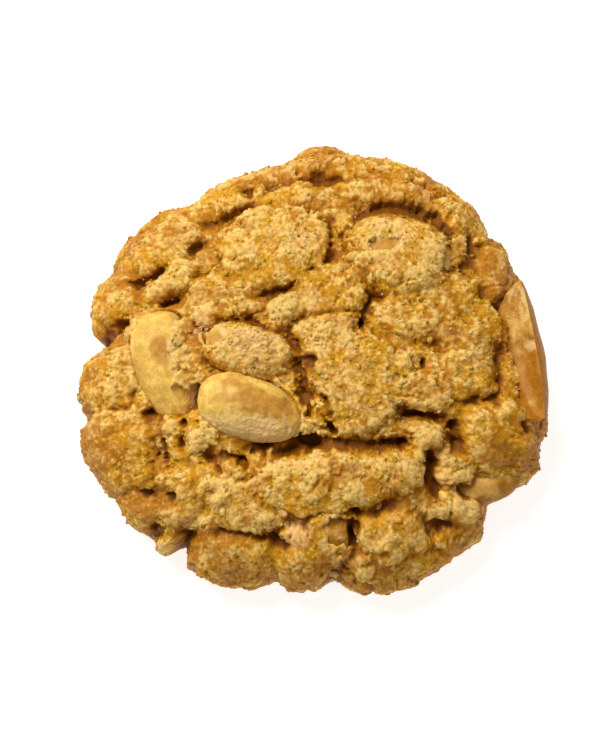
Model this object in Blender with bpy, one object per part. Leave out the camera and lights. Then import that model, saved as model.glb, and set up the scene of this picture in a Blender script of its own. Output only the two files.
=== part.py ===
"""A peanut oatmeal cookie: a chunky drop cookie of craggy dough with roasted peanut kernels baked into it.

Metres, +Z up. Sizes below are in millimetres and MM turns them into metres. The cookie lies on its flat
base, with the origin on that base under the middle of the whole cookie. +X is its right, +Y its back.
"""

import math
from collections import namedtuple

import bmesh
import bpy
from mathutils import Matrix, Vector, noise

MM = 0.001

# Linear colours, and how rough each surface is.
DOUGH_COLOUR = (0.55, 0.30, 0.07, 1.0)
DOUGH_ROUGHNESS = 0.75
PALE = (0.68, 0.42, 0.13, 1.0)
CRUMBED = (0.62, 0.36, 0.11, 1.0)
TOASTED = (0.55, 0.28, 0.08, 1.0)
KERNEL_ROUGHNESS = 0.45

# The dough's envelope, before its crags: a low dome with a rolled edge on a flat base.
CROWN_HEIGHT = 16.6
WIDEST_HEIGHT = 4.2
BASE_TUCK = 2.4
REFERENCE_REACH = 34.5
DOME_SQUARENESS = 2.5
PROFILE_STEPS = 240
DOUGH_CELLS = 68
PLAN_MIDDLE = (0.10, 1.00)

# How the crags are cut.
VALLEY_DEPTH = -0.6
CLOD_CROWN = 0.6
CLOD_SQUARENESS = 2.6
CLOD_EDGE = 1.15
COARSE_RAGGEDNESS = 0.75
COARSE_RAG_SIZE = 3.4
CRACK_EDGE = 1.1
RELIEF_FADE = (0.86, 0.985)
LUMP_HEIGHT = 0.35
LUMP_SIZE = 4.2

# Where each wander is read from the noise, so that no two clods or cracks share one.
CLOD_NOISE_STEP = 7.3
CRACK_NOISE_START = 200.0
CRACK_NOISE_STEP = 5.1
LUMP_NOISE_PLACE = 91.0

# Room left between a kernel and its socket in the dough.
SOCKET_GAP = 0.35
SEAT_MARGIN = 0.3
SEAT_EDGE = (0.92, 1.3)
KERNEL_SEGMENTS = 18
KERNEL_RINGS = 11
WHOLE_FULLNESS = 2.25
HALF_FULLNESS = 1.75
KERNEL_NARROWING = 0.14
HALF_STRAIGHTNESS = 0.85
BREAK_SHARE = 0.30
BREAK_SLANT = 0.08
POLE_REACH = 1e-4
CREASE_ANGLE = 40
WELD_DISTANCE = 1e-7

# How far the edge reaches from the middle, by angle in degrees anticlockwise from +X.
RIM = [
    (0, 34.2), (15, 34.4), (24, 35.4), (35, 36.0), (39, 34.9), (46, 36.0), (61, 36.8), (75, 35.3),
    (88, 36.3), (100, 33.5), (109, 33.8), (125, 33.1), (135, 35.3), (147, 35.8), (156, 34.9),
    (162, 35.0), (168, 34.6), (173, 33.2), (180, 34.8), (187, 35.5), (191, 35.1), (197, 36.4),
    (209, 35.3), (227, 35.5), (230, 35.5), (234, 33.4), (238, 35.4), (246, 35.2), (253, 34.0),
    (259, 32.5), (269, 33.2), (275, 32.4), (284, 34.9), (300, 35.1), (315, 35.3), (326, 33.4),
    (334, 35.6), (339, 36.8), (346, 36.8), (355, 36.0),
]

# Raised clods of dough: place, half-length, half-width, turn in degrees, and lift above the dome.
Clod = namedtuple("Clod", "name x y long wide turn lift")
CLODS = [
    Clod("crown_left", -5.7, 17.4, 8.2, 7.0, 5, 1.3),
    Clod("crown_mid", 2.6, 10.8, 6.0, 4.3, 10, 0.8),
    Clod("right_mid", 18.0, 8.2, 9.0, 5.6, -8, 0.6),
    Clod("right_high", 24.6, 5.0, 4.2, 4.6, 0, 0.5),
    Clod("heart", 5.4, -3.4, 7.2, 8.2, 8, 1.1),
    Clod("heart_upper", 2.2, 4.0, 5.4, 2.9, 12, 0.7),
    Clod("pebble", 15.6, -3.2, 5.4, 5.0, 0, 0.9),
    Clod("right_shoulder", 23.6, -1.8, 4.4, 4.4, 10, 0.8),
    Clod("tab", 16.8, -11.6, 2.6, 2.2, 30, 0.6),
    Clod("east_lump", 28.2, -11.4, 5.6, 6.4, 20, 1.3),
    Clod("terrace", 2.6, -18.4, 9.8, 4.6, 3, 0.7),
    Clod("terrace_right", 13.0, -16.6, 4.4, 3.4, 14, 0.8),
    Clod("front_left", -11.6, -20.6, 8.0, 5.4, -8, 0.6),
    Clod("foot_left", -11.2, -29.2, 6.8, 3.7, -4, 0.2),
    Clod("foot_mid", -1.6, -29.0, 4.4, 4.2, 0, 0.6),
    Clod("foot_right", 11.8, -28.0, 6.0, 5.4, 10, 0.6),
    Clod("foot_east", 21.2, -23.8, 4.4, 4.4, 0, 0.4),
    Clod("heel_right", 19.0, -29.2, 5.2, 2.7, 28, -0.2),
    Clod("west_lump", -29.6, -12.8, 5.9, 6.3, 0, 1.0),
    Clod("west_upper", -30.6, -1.8, 4.4, 5.2, 0, 0.8),
    Clod("northwest_rim", -30.4, 10.2, 3.9, 4.7, -15, 0.6),
    Clod("above_left_kernel", -22.0, 12.4, 5.4, 3.0, 15, 0.6),
    Clod("left_field", -13.0, 9.4, 6.4, 4.3, 8, 0.5),
    Clod("northwest_upper", -22.2, 19.0, 6.5, 3.7, 40, 0.5),
    Clod("northwest_ridge", -13.6, 26.0, 7.0, 2.8, 26, 0.8),
    Clod("north_roll", -3.9, 25.6, 4.8, 2.3, 20, 0.5),
    Clod("north_rim_left", -3.6, 30.6, 6.4, 2.1, 8, 0.4),
    Clod("north_rim", 8.6, 31.0, 8.2, 2.6, -6, 0.7),
    Clod("north_bank", 11.0, 26.9, 8.0, 2.3, -8, 0.7),
    Clod("northeast_lump", 21.6, 22.0, 4.4, 5.3, 35, 0.8),
    Clod("northeast_knob", 22.0, 16.6, 2.3, 1.8, 10, 0.3),
    Clod("east_rim", 27.8, 14.6, 2.9, 4.8, 18, 0.1),
    Clod("crumb_field", 4.8, 20.6, 2.3, 3.6, 0, -0.5),
    Clod("pale_ridge", -4.0, 7.4, 4.0, 2.6, 35, 0.8),
    Clod("speckled", -18.6, -12.0, 5.2, 4.0, 5, 0.2),
    Clod("lower_left", -19.2, -20.4, 4.4, 5.2, 10, 0.4),
    Clod("southwest_rim", -26.0, -20.8, 4.4, 3.6, -45, 0.2),
    Clod("southwest_foot", -20.8, -27.4, 3.4, 2.8, -30, 0.2),
    Clod("southeast_small", 22.0, -16.2, 2.9, 3.2, 0, 0.3),
    Clod("left_gap_low", -26.6, 4.0, 2.4, 3.0, 20, -0.2),
]

# Open cracks and pits in the top, as a run of places with a half-width and a depth.
Crack = namedtuple("Crack", "name half_width depth places")
CRACKS = [
    Crack("front_crevice", 1.25, 4.2, [(-8.6, -13.3), (-3.5, -13.8), (2.6, -13.0), (8.5, -13.4), (13, -13)]),
    Crack("kernel_crevice", 1.15, 3.0, [(-2.2, 2.2), (-1.6, -1.5), (-0.8, -5.6), (1.4, -8.8), (3.4, -11.4)]),
    Crack("crown_gap", 1.0, 2.8, [(2.7, 20.6), (2.8, 16.8), (1.6, 14.2), (-1.6, 12.2), (-5.6, 10.4)]),
    Crack("kernel_arc", 1.3, 2.8, [(7.2, 22.2), (10.4, 24.0), (14.6, 24.0), (18.2, 22.4), (20.2, 19.6)]),
    Crack("right_pit", 1.5, 3.4, [(20.8, -11.0), (21.6, -12.6)]),
    Crack("terrace_end", 1.4, 3.2, [(17.6, -14.8), (17.4, -18.2), (18.8, -20.4)]),
    Crack("slot", 1.0, 3.4, [(5.6, -23.4), (5.5, -27.8)]),
    Crack("shoulder_gap", 1.2, 2.6, [(22.6, -6.2), (26.6, -6.0)]),
    Crack("left_pit", 1.2, 3.4, [(-25.2, -8.4), (-22.8, -7.8)]),
    Crack("between_kernels", 1.2, 2.6, [(-18.6, -7.6), (-16.8, -7.4)]),
    Crack("front_pit", 1.3, 3.0, [(-13.6, -14.6), (-10.4, -15.6)]),
    Crack("rim_cave", 1.5, 3.0, [(-32.4, 4.6), (-29.4, 7.0)]),
    Crack("northwest_gap", 1.0, 2.2, [(-17.0, 22.4), (-13.4, 23.4), (-10.2, 25.0)]),
    Crack("north_hollow", 1.4, 2.4, [(-0.2, 28.0), (3.2, 27.6)]),
    Crack("east_hollow", 1.2, 2.6, [(29.0, 10.4), (28.4, 8.8)]),
    Crack("pebble_gap", 0.9, 2.2, [(13.4, -8.4), (18.6, -8.8)]),
    Crack("right_kernel_gap", 0.9, 2.6, [(28.6, 6.0), (28.2, 1.0), (28.8, -4.0)]),
]

# Peanut kernels: place of the middle, length, width, thickness, then turn, lean and roll in degrees, and
# how far above its middle, as a share of its thickness, the dough meets a kernel that lies on it.
Kernel = namedtuple("Kernel", "name x y z length width thickness turn lean roll seat kind colour")
KERNELS = [
    Kernel("peanut_front", -9.4, -7.4, 15.2, 15.8, 9.4, 7.6, -19, 2, 6, -0.08, "whole", PALE),
    Kernel("peanut_left", -21.6, -0.3, 11.4, 17.2, 10.4, 8.0, -76, 4, -16, 0.0, "whole", PALE),
    Kernel("peanut_right", 29.9, 1.6, 10.4, 21.6, 9.8, 5.2, 98, 2, 135, 0.0, "half", TOASTED),
    Kernel("peanut_crumbed", -9.4, 1.7, 15.4, 13.2, 6.2, 5.6, -14, 2, 0, 0.0, "whole", CRUMBED),
    Kernel("peanut_top", 13.2, 17.2, 12.3, 16.4, 11.2, 8.8, -10, 5, -14, 0.0, "whole", CRUMBED),
    Kernel("peanut_side", 25.9, -17.2, 7.2, 11.8, 6.6, 6.2, 18, -2, 0, 0.0, "whole", TOASTED),
    Kernel("peanut_chunk", 2.6, -25.2, 10.4, 8.6, 6.4, 5.4, 4, 0, 20, 0.2, "broken", TOASTED),
]

# Kernels held on edge in the rim, which the dough isn't brought down for.
RIM_KERNELS = ("peanut_right", "peanut_side")

# Rolled oats that show in the crust: place, then turn in degrees.
Oat = namedtuple("Oat", "x y turn")
OATS = [
    Oat(-11.0, 15.2, 20),
    Oat(16.4, 6.2, 70),
    Oat(21.4, 1.6, 10),
    Oat(-19.2, 15.0, 40),
    Oat(-14.6, -19.6, 0),
    Oat(22.6, -21.4, 60),
    Oat(11.4, -27.6, 30),
    Oat(-31.0, -5.2, 80),
    Oat(0.4, -18.8, 50),
    Oat(-4.6, 7.8, 35),
]
OAT_LENGTH = 5.2
OAT_WIDTH = 4.0
OAT_RISE = 0.55
OAT_EDGE = (0.72, 1.25)


def clear_scene():
    for thing in list(bpy.data.objects):
        bpy.data.objects.remove(thing, do_unlink=True)


def eased(value, low, high):
    """0 below low, 1 above high, and a smooth step between."""
    share = min(1.0, max(0.0, (value - low) / (high - low)))
    return share * share * (3 - 2 * share)


def dome_profile():
    """The envelope's section from the middle of the top to the base edge, with its running length."""
    points = []
    for step in range(PROFILE_STEPS + 1):
        angle = math.pi / 2 * step / PROFILE_STEPS
        reach = REFERENCE_REACH * math.sin(angle) ** (2 / DOME_SQUARENESS)
        height = WIDEST_HEIGHT + (CROWN_HEIGHT - WIDEST_HEIGHT) * math.cos(angle)
        points.append((reach, height))
    for step in range(1, PROFILE_STEPS // 4 + 1):
        angle = math.pi / 2 * step / (PROFILE_STEPS // 4)
        reach = REFERENCE_REACH - BASE_TUCK * (1 - math.cos(angle))
        points.append((reach, WIDEST_HEIGHT * (1 - math.sin(angle))))
    lengths = [0.0]
    for before, after in zip(points, points[1:]):
        lengths.append(lengths[-1] + math.dist(before, after))
    return points, lengths


def on_profile(profile, share):
    """(reach, height, outward part of the normal, upward part) at a share of the profile's length."""
    points, lengths = profile
    target = share * lengths[-1]
    index = 1
    while index < len(lengths) - 1 and lengths[index] < target:
        index += 1
    along = (target - lengths[index - 1]) / (lengths[index] - lengths[index - 1])
    (reach_a, height_a), (reach_b, height_b) = points[index - 1], points[index]
    run = math.dist(points[index - 1], points[index])
    reach = reach_a + (reach_b - reach_a) * along
    height = height_a + (height_b - height_a) * along
    return reach, height, (height_a - height_b) / run, (reach_b - reach_a) / run


def rim_reach(angle):
    """How far the edge reaches at an angle in radians."""
    degrees = math.degrees(angle) % 360
    stops = RIM + [(RIM[0][0] + 360, RIM[0][1])]
    for (low, reach_a), (high, reach_b) in zip(stops, stops[1:]):
        if degrees <= high:
            return reach_a + (reach_b - reach_a) * eased(degrees, low, high)
    return RIM[0][1]


def raggedness(x, y, seed):
    """A wander in millimetres, so that no clod or crack has a smooth edge."""
    return COARSE_RAGGEDNESS * noise.noise(Vector((x / COARSE_RAG_SIZE, y / COARSE_RAG_SIZE, seed)))


def clod_height(clod, seed, x, y):
    turn = math.radians(clod.turn)
    dx, dy = x - clod.x, y - clod.y
    along = abs(dx * math.cos(turn) + dy * math.sin(turn)) / clod.long
    across = abs(dy * math.cos(turn) - dx * math.sin(turn)) / clod.wide
    distance = (along**CLOD_SQUARENESS + across**CLOD_SQUARENESS) ** (1 / CLOD_SQUARENESS)
    if distance > 2:
        return VALLEY_DEPTH
    inside = (1 - distance) * math.sqrt(clod.long * clod.wide) + raggedness(x, y, seed)
    top = clod.lift + CLOD_CROWN * (1 - min(1.0, distance * distance))
    return VALLEY_DEPTH + (top - VALLEY_DEPTH) * eased(inside, -CLOD_EDGE, CLOD_EDGE)


def distance_to_run(places, x, y):
    nearest = 1e9
    for (ax, ay), (bx, by) in zip(places, places[1:]):
        run_x, run_y = bx - ax, by - ay
        along = ((x - ax) * run_x + (y - ay) * run_y) / (run_x * run_x + run_y * run_y)
        along = min(1.0, max(0.0, along))
        nearest = min(nearest, math.hypot(x - ax - run_x * along, y - ay - run_y * along))
    return nearest


def oat_rise(x, y):
    """How far a rolled oat in the crust lifts it at a place."""
    rise = 0.0
    for oat in OATS:
        turn = math.radians(oat.turn)
        dx, dy = x - oat.x, y - oat.y
        along = (dx * math.cos(turn) + dy * math.sin(turn)) / (OAT_LENGTH / 2)
        across = (dy * math.cos(turn) - dx * math.sin(turn)) / (OAT_WIDTH / 2)
        rise = max(rise, OAT_RISE * (1 - eased(math.hypot(along, across), *OAT_EDGE)))
    return rise


def relief(x, y):
    """Height of the crags above the dome at a place, in millimetres."""
    height = max(clod_height(clod, CLOD_NOISE_STEP * index, x, y) for index, clod in enumerate(CLODS))
    height += LUMP_HEIGHT * noise.noise(Vector((x / LUMP_SIZE, y / LUMP_SIZE, LUMP_NOISE_PLACE)))
    height += oat_rise(x, y)
    for index, crack in enumerate(CRACKS):
        away = distance_to_run(crack.places, x, y)
        away += raggedness(x, y, CRACK_NOISE_START + CRACK_NOISE_STEP * index)
        closed = eased(away, crack.half_width - CRACK_EDGE, crack.half_width + CRACK_EDGE)
        height -= crack.depth * (1 - closed)
    return height


def kernel_matrix(kernel):
    """Turns a kernel lying along X with its round side up, and puts it in its place."""
    turn = Matrix.Rotation(math.radians(kernel.turn), 4, "Z")
    lean = Matrix.Rotation(math.radians(kernel.lean), 4, "Y")
    roll = Matrix.Rotation(math.radians(kernel.roll), 4, "X")
    return Matrix.Translation(Vector((kernel.x, kernel.y, kernel.z)) * MM) @ turn @ lean @ roll


def lowered_for_kernels(place):
    """The height of a place on the crags, brought down round the kernels that lie on the dough."""
    height = place.z
    for kernel in KERNELS:
        if kernel.name in RIM_KERNELS:
            continue
        turn = math.radians(kernel.turn)
        dx, dy = place.x - kernel.x, place.y - kernel.y
        along = (dx * math.cos(turn) + dy * math.sin(turn)) / (kernel.length / 2 + SEAT_MARGIN)
        across = (dy * math.cos(turn) - dx * math.sin(turn)) / (kernel.width / 2 + SEAT_MARGIN)
        near = 1 - eased(math.hypot(along, across), *SEAT_EDGE)
        seat = kernel.z + kernel.seat * kernel.thickness
        height -= near * max(0.0, height - seat)
    return height


def dough_point(profile, disc_x, disc_y):
    """Where a point of the unit disc lies on the craggy surface, in metres."""
    share = min(1.0, math.hypot(disc_x, disc_y))
    angle = math.atan2(disc_y, disc_x)
    reach, height, outward, upward = on_profile(profile, share)
    reach *= rim_reach(angle) / REFERENCE_REACH
    flat = Vector((math.cos(angle), math.sin(angle), 0))
    place = flat * reach + Vector((0, 0, height))
    out = (flat * outward + Vector((0, 0, upward))).normalized()
    kept = 1 - eased(share, *RELIEF_FADE)
    place += out * relief(place.x, place.y) * kept
    place.z = lowered_for_kernels(place)
    return place * MM


def material(name, colour, roughness):
    made = bpy.data.materials.new(name)
    made.use_nodes = True
    shader = made.node_tree.nodes["Principled BSDF"]
    shader.inputs["Base Color"].default_value = colour
    shader.inputs["Roughness"].default_value = roughness
    shader.inputs["Metallic"].default_value = 0.0
    made.diffuse_color = colour
    return made


def add_object(name, mesh_builder, finish, parent):
    """Makes an object from a bmesh, shaded smooth apart from its creases."""
    mesh = bpy.data.meshes.new(name)
    mesh_builder.to_mesh(mesh)
    mesh_builder.free()
    mesh.shade_smooth()
    mesh.set_sharp_from_angle(angle=math.radians(CREASE_ANGLE))
    mesh.materials.append(finish)
    thing = bpy.data.objects.new(name, mesh)
    bpy.context.scene.collection.objects.link(thing)
    thing.parent = parent
    return thing


def squircle_to_disc(x, y):
    """Maps the square from -1 to 1 onto the unit disc."""
    return x * math.sqrt(1 - y * y / 2), y * math.sqrt(1 - x * x / 2)


def make_dough(finish, parent):
    """A square grid of cells laid over the dome as a round sheet, closed by a flat base."""
    profile = dome_profile()
    builder = bmesh.new()
    bmesh.ops.create_grid(builder, x_segments=DOUGH_CELLS, y_segments=DOUGH_CELLS, size=1.0)
    for vertex in builder.verts:
        disc_x, disc_y = squircle_to_disc(vertex.co.x, vertex.co.y)
        vertex.co = dough_point(profile, disc_x, disc_y)
    bmesh.ops.triangulate(builder, faces=builder.faces, quad_method="SHORT_EDGE")
    edge = [side for side in builder.edges if side.is_boundary]
    for side in edge:
        for vertex in side.verts:
            vertex.co.z = 0.0
    bmesh.ops.contextual_create(builder, geom=edge)
    bmesh.ops.recalc_face_normals(builder, faces=builder.faces)
    return add_object("dough", builder, finish, parent)


def shape_kernel(builder, kernel):
    """Turns a unit ball into an egg-shaped kernel, blunt at -X and narrowed at +X.

    A half kernel is pointed, and its +Y edge is nearly straight.
    """
    half = kernel.kind == "half"
    fullness = HALF_FULLNESS if half else WHOLE_FULLNESS
    for vertex in builder.verts:
        along = vertex.co.x
        round_reach = math.sqrt(max(0.0, 1 - along * along))
        full_reach = max(0.0, 1 - abs(along) ** fullness) ** (1 / fullness)
        narrowed = 1 - KERNEL_NARROWING * along
        swell = narrowed * (full_reach / round_reach if round_reach > POLE_REACH else 1)
        shift = HALF_STRAIGHTNESS * (1 - narrowed * full_reach) if half else 0
        vertex.co.x = along * kernel.length / 2 * MM
        vertex.co.y = (vertex.co.y * swell + shift) * kernel.width / 2 * MM
        vertex.co.z *= swell * kernel.thickness / 2 * MM


def split_kernel(builder, kernel):
    """Leaves the half above the seam, as thick as the kernel says, or also breaks its +X end off."""
    if kernel.kind == "half":
        bmesh.ops.scale(builder, vec=(1, 1, 2), verts=builder.verts)
        cut_flat(builder, Vector((0, 0, 0)), Vector((0, 0, -1)))
    if kernel.kind == "broken":
        cut_flat(builder, Vector((BREAK_SHARE * kernel.length * MM, 0, 0)), Vector((1, 0, BREAK_SLANT)))


def cut_flat(builder, place, normal):
    """Cuts away what lies on the normal's side of a plane and closes the cut."""
    everything = list(builder.verts) + list(builder.edges) + list(builder.faces)
    cut = bmesh.ops.bisect_plane(
        builder, geom=everything, dist=WELD_DISTANCE, plane_co=place, plane_no=normal, clear_outer=True
    )
    rim = [part for part in cut["geom_cut"] if isinstance(part, bmesh.types.BMEdge)]
    bmesh.ops.contextual_create(builder, geom=rim)


def kernel_builder(kernel):
    builder = bmesh.new()
    upright = Matrix.Rotation(math.pi / 2, 4, "Y")
    bmesh.ops.create_uvsphere(
        builder, u_segments=KERNEL_SEGMENTS, v_segments=KERNEL_RINGS, radius=1.0, matrix=upright
    )
    shape_kernel(builder, kernel)
    split_kernel(builder, kernel)
    bmesh.ops.recalc_face_normals(builder, faces=builder.faces)
    return builder


def make_kernel(kernel, finish, parent):
    thing = add_object(kernel.name, kernel_builder(kernel), finish, parent)
    thing.matrix_local = kernel_matrix(kernel)
    return thing


def make_socket_cutter(kernel, finish, parent):
    """The same kernel, larger by the gap all round, which hollows its socket out of the dough."""
    room = 2 * SOCKET_GAP
    bigger = kernel._replace(
        name=kernel.name + "_socket",
        length=kernel.length + room,
        width=kernel.width + room,
        thickness=kernel.thickness + room,
    )
    cutter = make_kernel(bigger, finish, parent)
    if kernel.kind == "half":
        cutter.matrix_local = kernel_matrix(kernel) @ Matrix.Translation((0, 0, -SOCKET_GAP * MM))
    cutter.hide_render = True
    cutter.display_type = "WIRE"
    return cutter


def collect(name, things):
    group = bpy.data.collections.new(name)
    bpy.context.scene.collection.children.link(group)
    for thing in things:
        bpy.context.scene.collection.objects.unlink(thing)
        group.objects.link(thing)
    return group


def cut_away(thing, name, group):
    """Cuts a whole collection out in one step and applies the cut, then removes the collection's objects."""
    modifier = thing.modifiers.new(name, "BOOLEAN")
    modifier.operation = "DIFFERENCE"
    modifier.operand_type = "COLLECTION"
    modifier.collection = group
    modifier.solver = "EXACT"
    graph = bpy.context.evaluated_depsgraph_get()
    hollowed = bpy.data.meshes.new_from_object(thing.evaluated_get(graph))
    thing.modifiers.remove(modifier)
    thing.data = hollowed
    for used in list(group.objects):
        bpy.data.objects.remove(used, do_unlink=True)
    bpy.data.collections.remove(group)


def main():
    clear_scene()
    cookie = bpy.data.objects.new("cookie", None)
    bpy.context.scene.collection.objects.link(cookie)
    cookie.location = (-PLAN_MIDDLE[0] * MM, -PLAN_MIDDLE[1] * MM, 0)
    baked = material("baked_dough", DOUGH_COLOUR, DOUGH_ROUGHNESS)
    dough = make_dough(baked, cookie)
    sockets = [make_socket_cutter(kernel, baked, cookie) for kernel in KERNELS]
    cut_away(dough, "sockets", collect("sockets", sockets))
    for kernel in KERNELS:
        finish = material(kernel.name + "_finish", kernel.colour, KERNEL_ROUGHNESS)
        make_kernel(kernel, finish, cookie)


main()
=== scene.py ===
"""The looks of a peanut oatmeal cookie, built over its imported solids.

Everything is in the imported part's own frame. Lengths in tables are in millimetres, and MM turns them into
metres.
"""

import itertools
import math
import random
from collections import namedtuple

import bmesh
import bpy
import numpy as np
from bpy.props import FloatProperty, FloatVectorProperty, IntProperty, PointerProperty
from mathutils import Matrix, Vector, noise


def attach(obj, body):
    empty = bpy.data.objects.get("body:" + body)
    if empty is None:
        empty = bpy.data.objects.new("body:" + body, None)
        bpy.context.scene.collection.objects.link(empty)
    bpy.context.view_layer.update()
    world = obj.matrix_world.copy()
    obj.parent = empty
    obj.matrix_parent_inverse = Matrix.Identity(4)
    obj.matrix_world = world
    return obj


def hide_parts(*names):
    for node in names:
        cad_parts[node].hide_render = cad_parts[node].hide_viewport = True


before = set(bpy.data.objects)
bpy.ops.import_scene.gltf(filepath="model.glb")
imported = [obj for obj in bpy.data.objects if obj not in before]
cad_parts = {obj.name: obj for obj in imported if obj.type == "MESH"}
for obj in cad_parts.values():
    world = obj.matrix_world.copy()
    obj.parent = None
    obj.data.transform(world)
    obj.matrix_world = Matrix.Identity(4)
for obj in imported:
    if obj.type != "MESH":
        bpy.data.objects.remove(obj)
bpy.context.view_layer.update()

bl_info = {
    "name": "Peanut Oatmeal Cookie",
    "version": (1, 0, 0),
    "blender": (4, 5, 0),
    "location": "3D View > Sidebar > Cookie",
    "description": "Bakes a craggy peanut oatmeal cookie piece by piece",
    "category": "Add Mesh",
}

MM = 0.001

# The dough's envelope before its crags, as in the solids: a low dome with a rolled edge.
CROWN_HEIGHT = 16.6
WIDEST_HEIGHT = 4.2
BASE_TUCK = 2.4
REFERENCE_REACH = 34.5
DOME_SQUARENESS = 2.5
PROFILE_STEPS = 240
SLOPE_STEP = 0.05
PLAN_MIDDLE = np.array((0.10, 1.00, 0.0))
RIM_COARSENING = 0.22
RELIEF_FADE = (0.88, 0.99)
CALM_FLANK = (0.62, 0.86)
# Browning toward the rim: partly real toasting, partly painted shade on the flank that slopes away from the
# light.
BROWNED_AND_SHADED_RIM = (0.52, 0.86)
RIM_TOAST_AND_SHADE = 1.0
BASE_RINGS = (0.94, 0.84, 0.78, 0.66, 0.5)
BASE_TOAST = 1.6
DEEPEST_OVERHANG = 3.0

# The clods and cracks of the solids, with crisper, more ragged edges, and more small cracks.
CLOD_CROWN = 0.6
LIFT_SHARE = 0.8
CLOD_SQUARENESS = 2.6
CLOD_EDGE = (-0.30, 0.55)
CLOD_NOISE_STEP = 7.3
CLOD_RANGE = 2
RAG_SIZES_AND_HEIGHTS = ((3.4, 0.75), (1.5, 0.55), (0.62, 0.30))
CRACK_NOISE_START = 200.0
CRACK_NOISE_STEP = 5.1
CRACK_EDGE = (0.45, 0.30)
CRACK_BANK = 0.42
BANK_REACH = 2.4
# Painted shade along the cracks and their banks: the depth that counts fully, and its share in the hollows'
# painted shade.
CRACK_SHADE_DEPTH = 1.6
CRACK_SHADE_SHARE = 0.65

# How sunk a place is, from its surroundings, which sets the painted shade in the crust's hollows: cells
# around it, the depth that counts as 1, and a weight.
HOLLOW_SHADE_SCALES = ((2, 0.36, 0.35), (7, 1.1, 0.45), (16, 1.6, 0.55))

# The crust's lumps and lobes: share, size and noise seed.
LUMPS = ((0.8, 4.2, 11.0), (0.55, 2.3, 17.0))
LOBES = ((1.0, 3.8, 19.0), (0.5, 1.9, 21.0))
LOBES_MIDDLE = 0.7

# Noise is read from a block of random numbers that repeats after so many cells.
NOISE_SIDE = 64
NOISE_STRIDE = np.array((1.0, 1.73, 2.41))

# Room left between a kernel and the dough that has baked up to it.
SEAT_MARGIN = 0.2
SEAT_EDGE = (0.90, 1.04)

# The crumb over a kernel: how far it runs out, how much further at the front, and how low it ends.
DRAPE_SPREAD = 1.3
DRAPE_SKIRT = 0.72
DRAPE_DROP = 0.3
WINDOW_EDGE = (0.9, 1.1)

# The kernels' shape: how blunt their ends are, how much they taper, and the half kernel's straight side.
KERNEL_FINENESS = 6
WHOLE_FULLNESS = 2.25
HALF_FULLNESS = 1.75
KERNEL_NARROWING = 0.14
HALF_STRAIGHTNESS = 0.85

# How far the edge reaches from the middle, by angle in degrees anticlockwise from +X.
RIM = [
    (0, 34.2), (15, 34.4), (24, 35.4), (35, 36.0), (39, 34.9), (46, 36.0), (61, 36.8), (75, 35.3),
    (88, 36.3), (100, 33.5), (109, 33.8), (125, 33.1), (135, 35.3), (147, 35.8), (156, 34.9),
    (162, 35.0), (168, 34.6), (173, 33.2), (180, 34.8), (187, 35.5), (191, 35.1), (197, 36.4),
    (209, 35.3), (227, 35.5), (230, 35.5), (234, 33.4), (238, 35.4), (246, 35.2), (253, 34.0),
    (259, 32.5), (269, 33.2), (275, 32.4), (284, 34.9), (300, 35.1), (315, 35.3), (326, 33.4),
    (334, 35.6), (339, 36.8), (346, 36.8), (355, 36.0),
]

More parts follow.
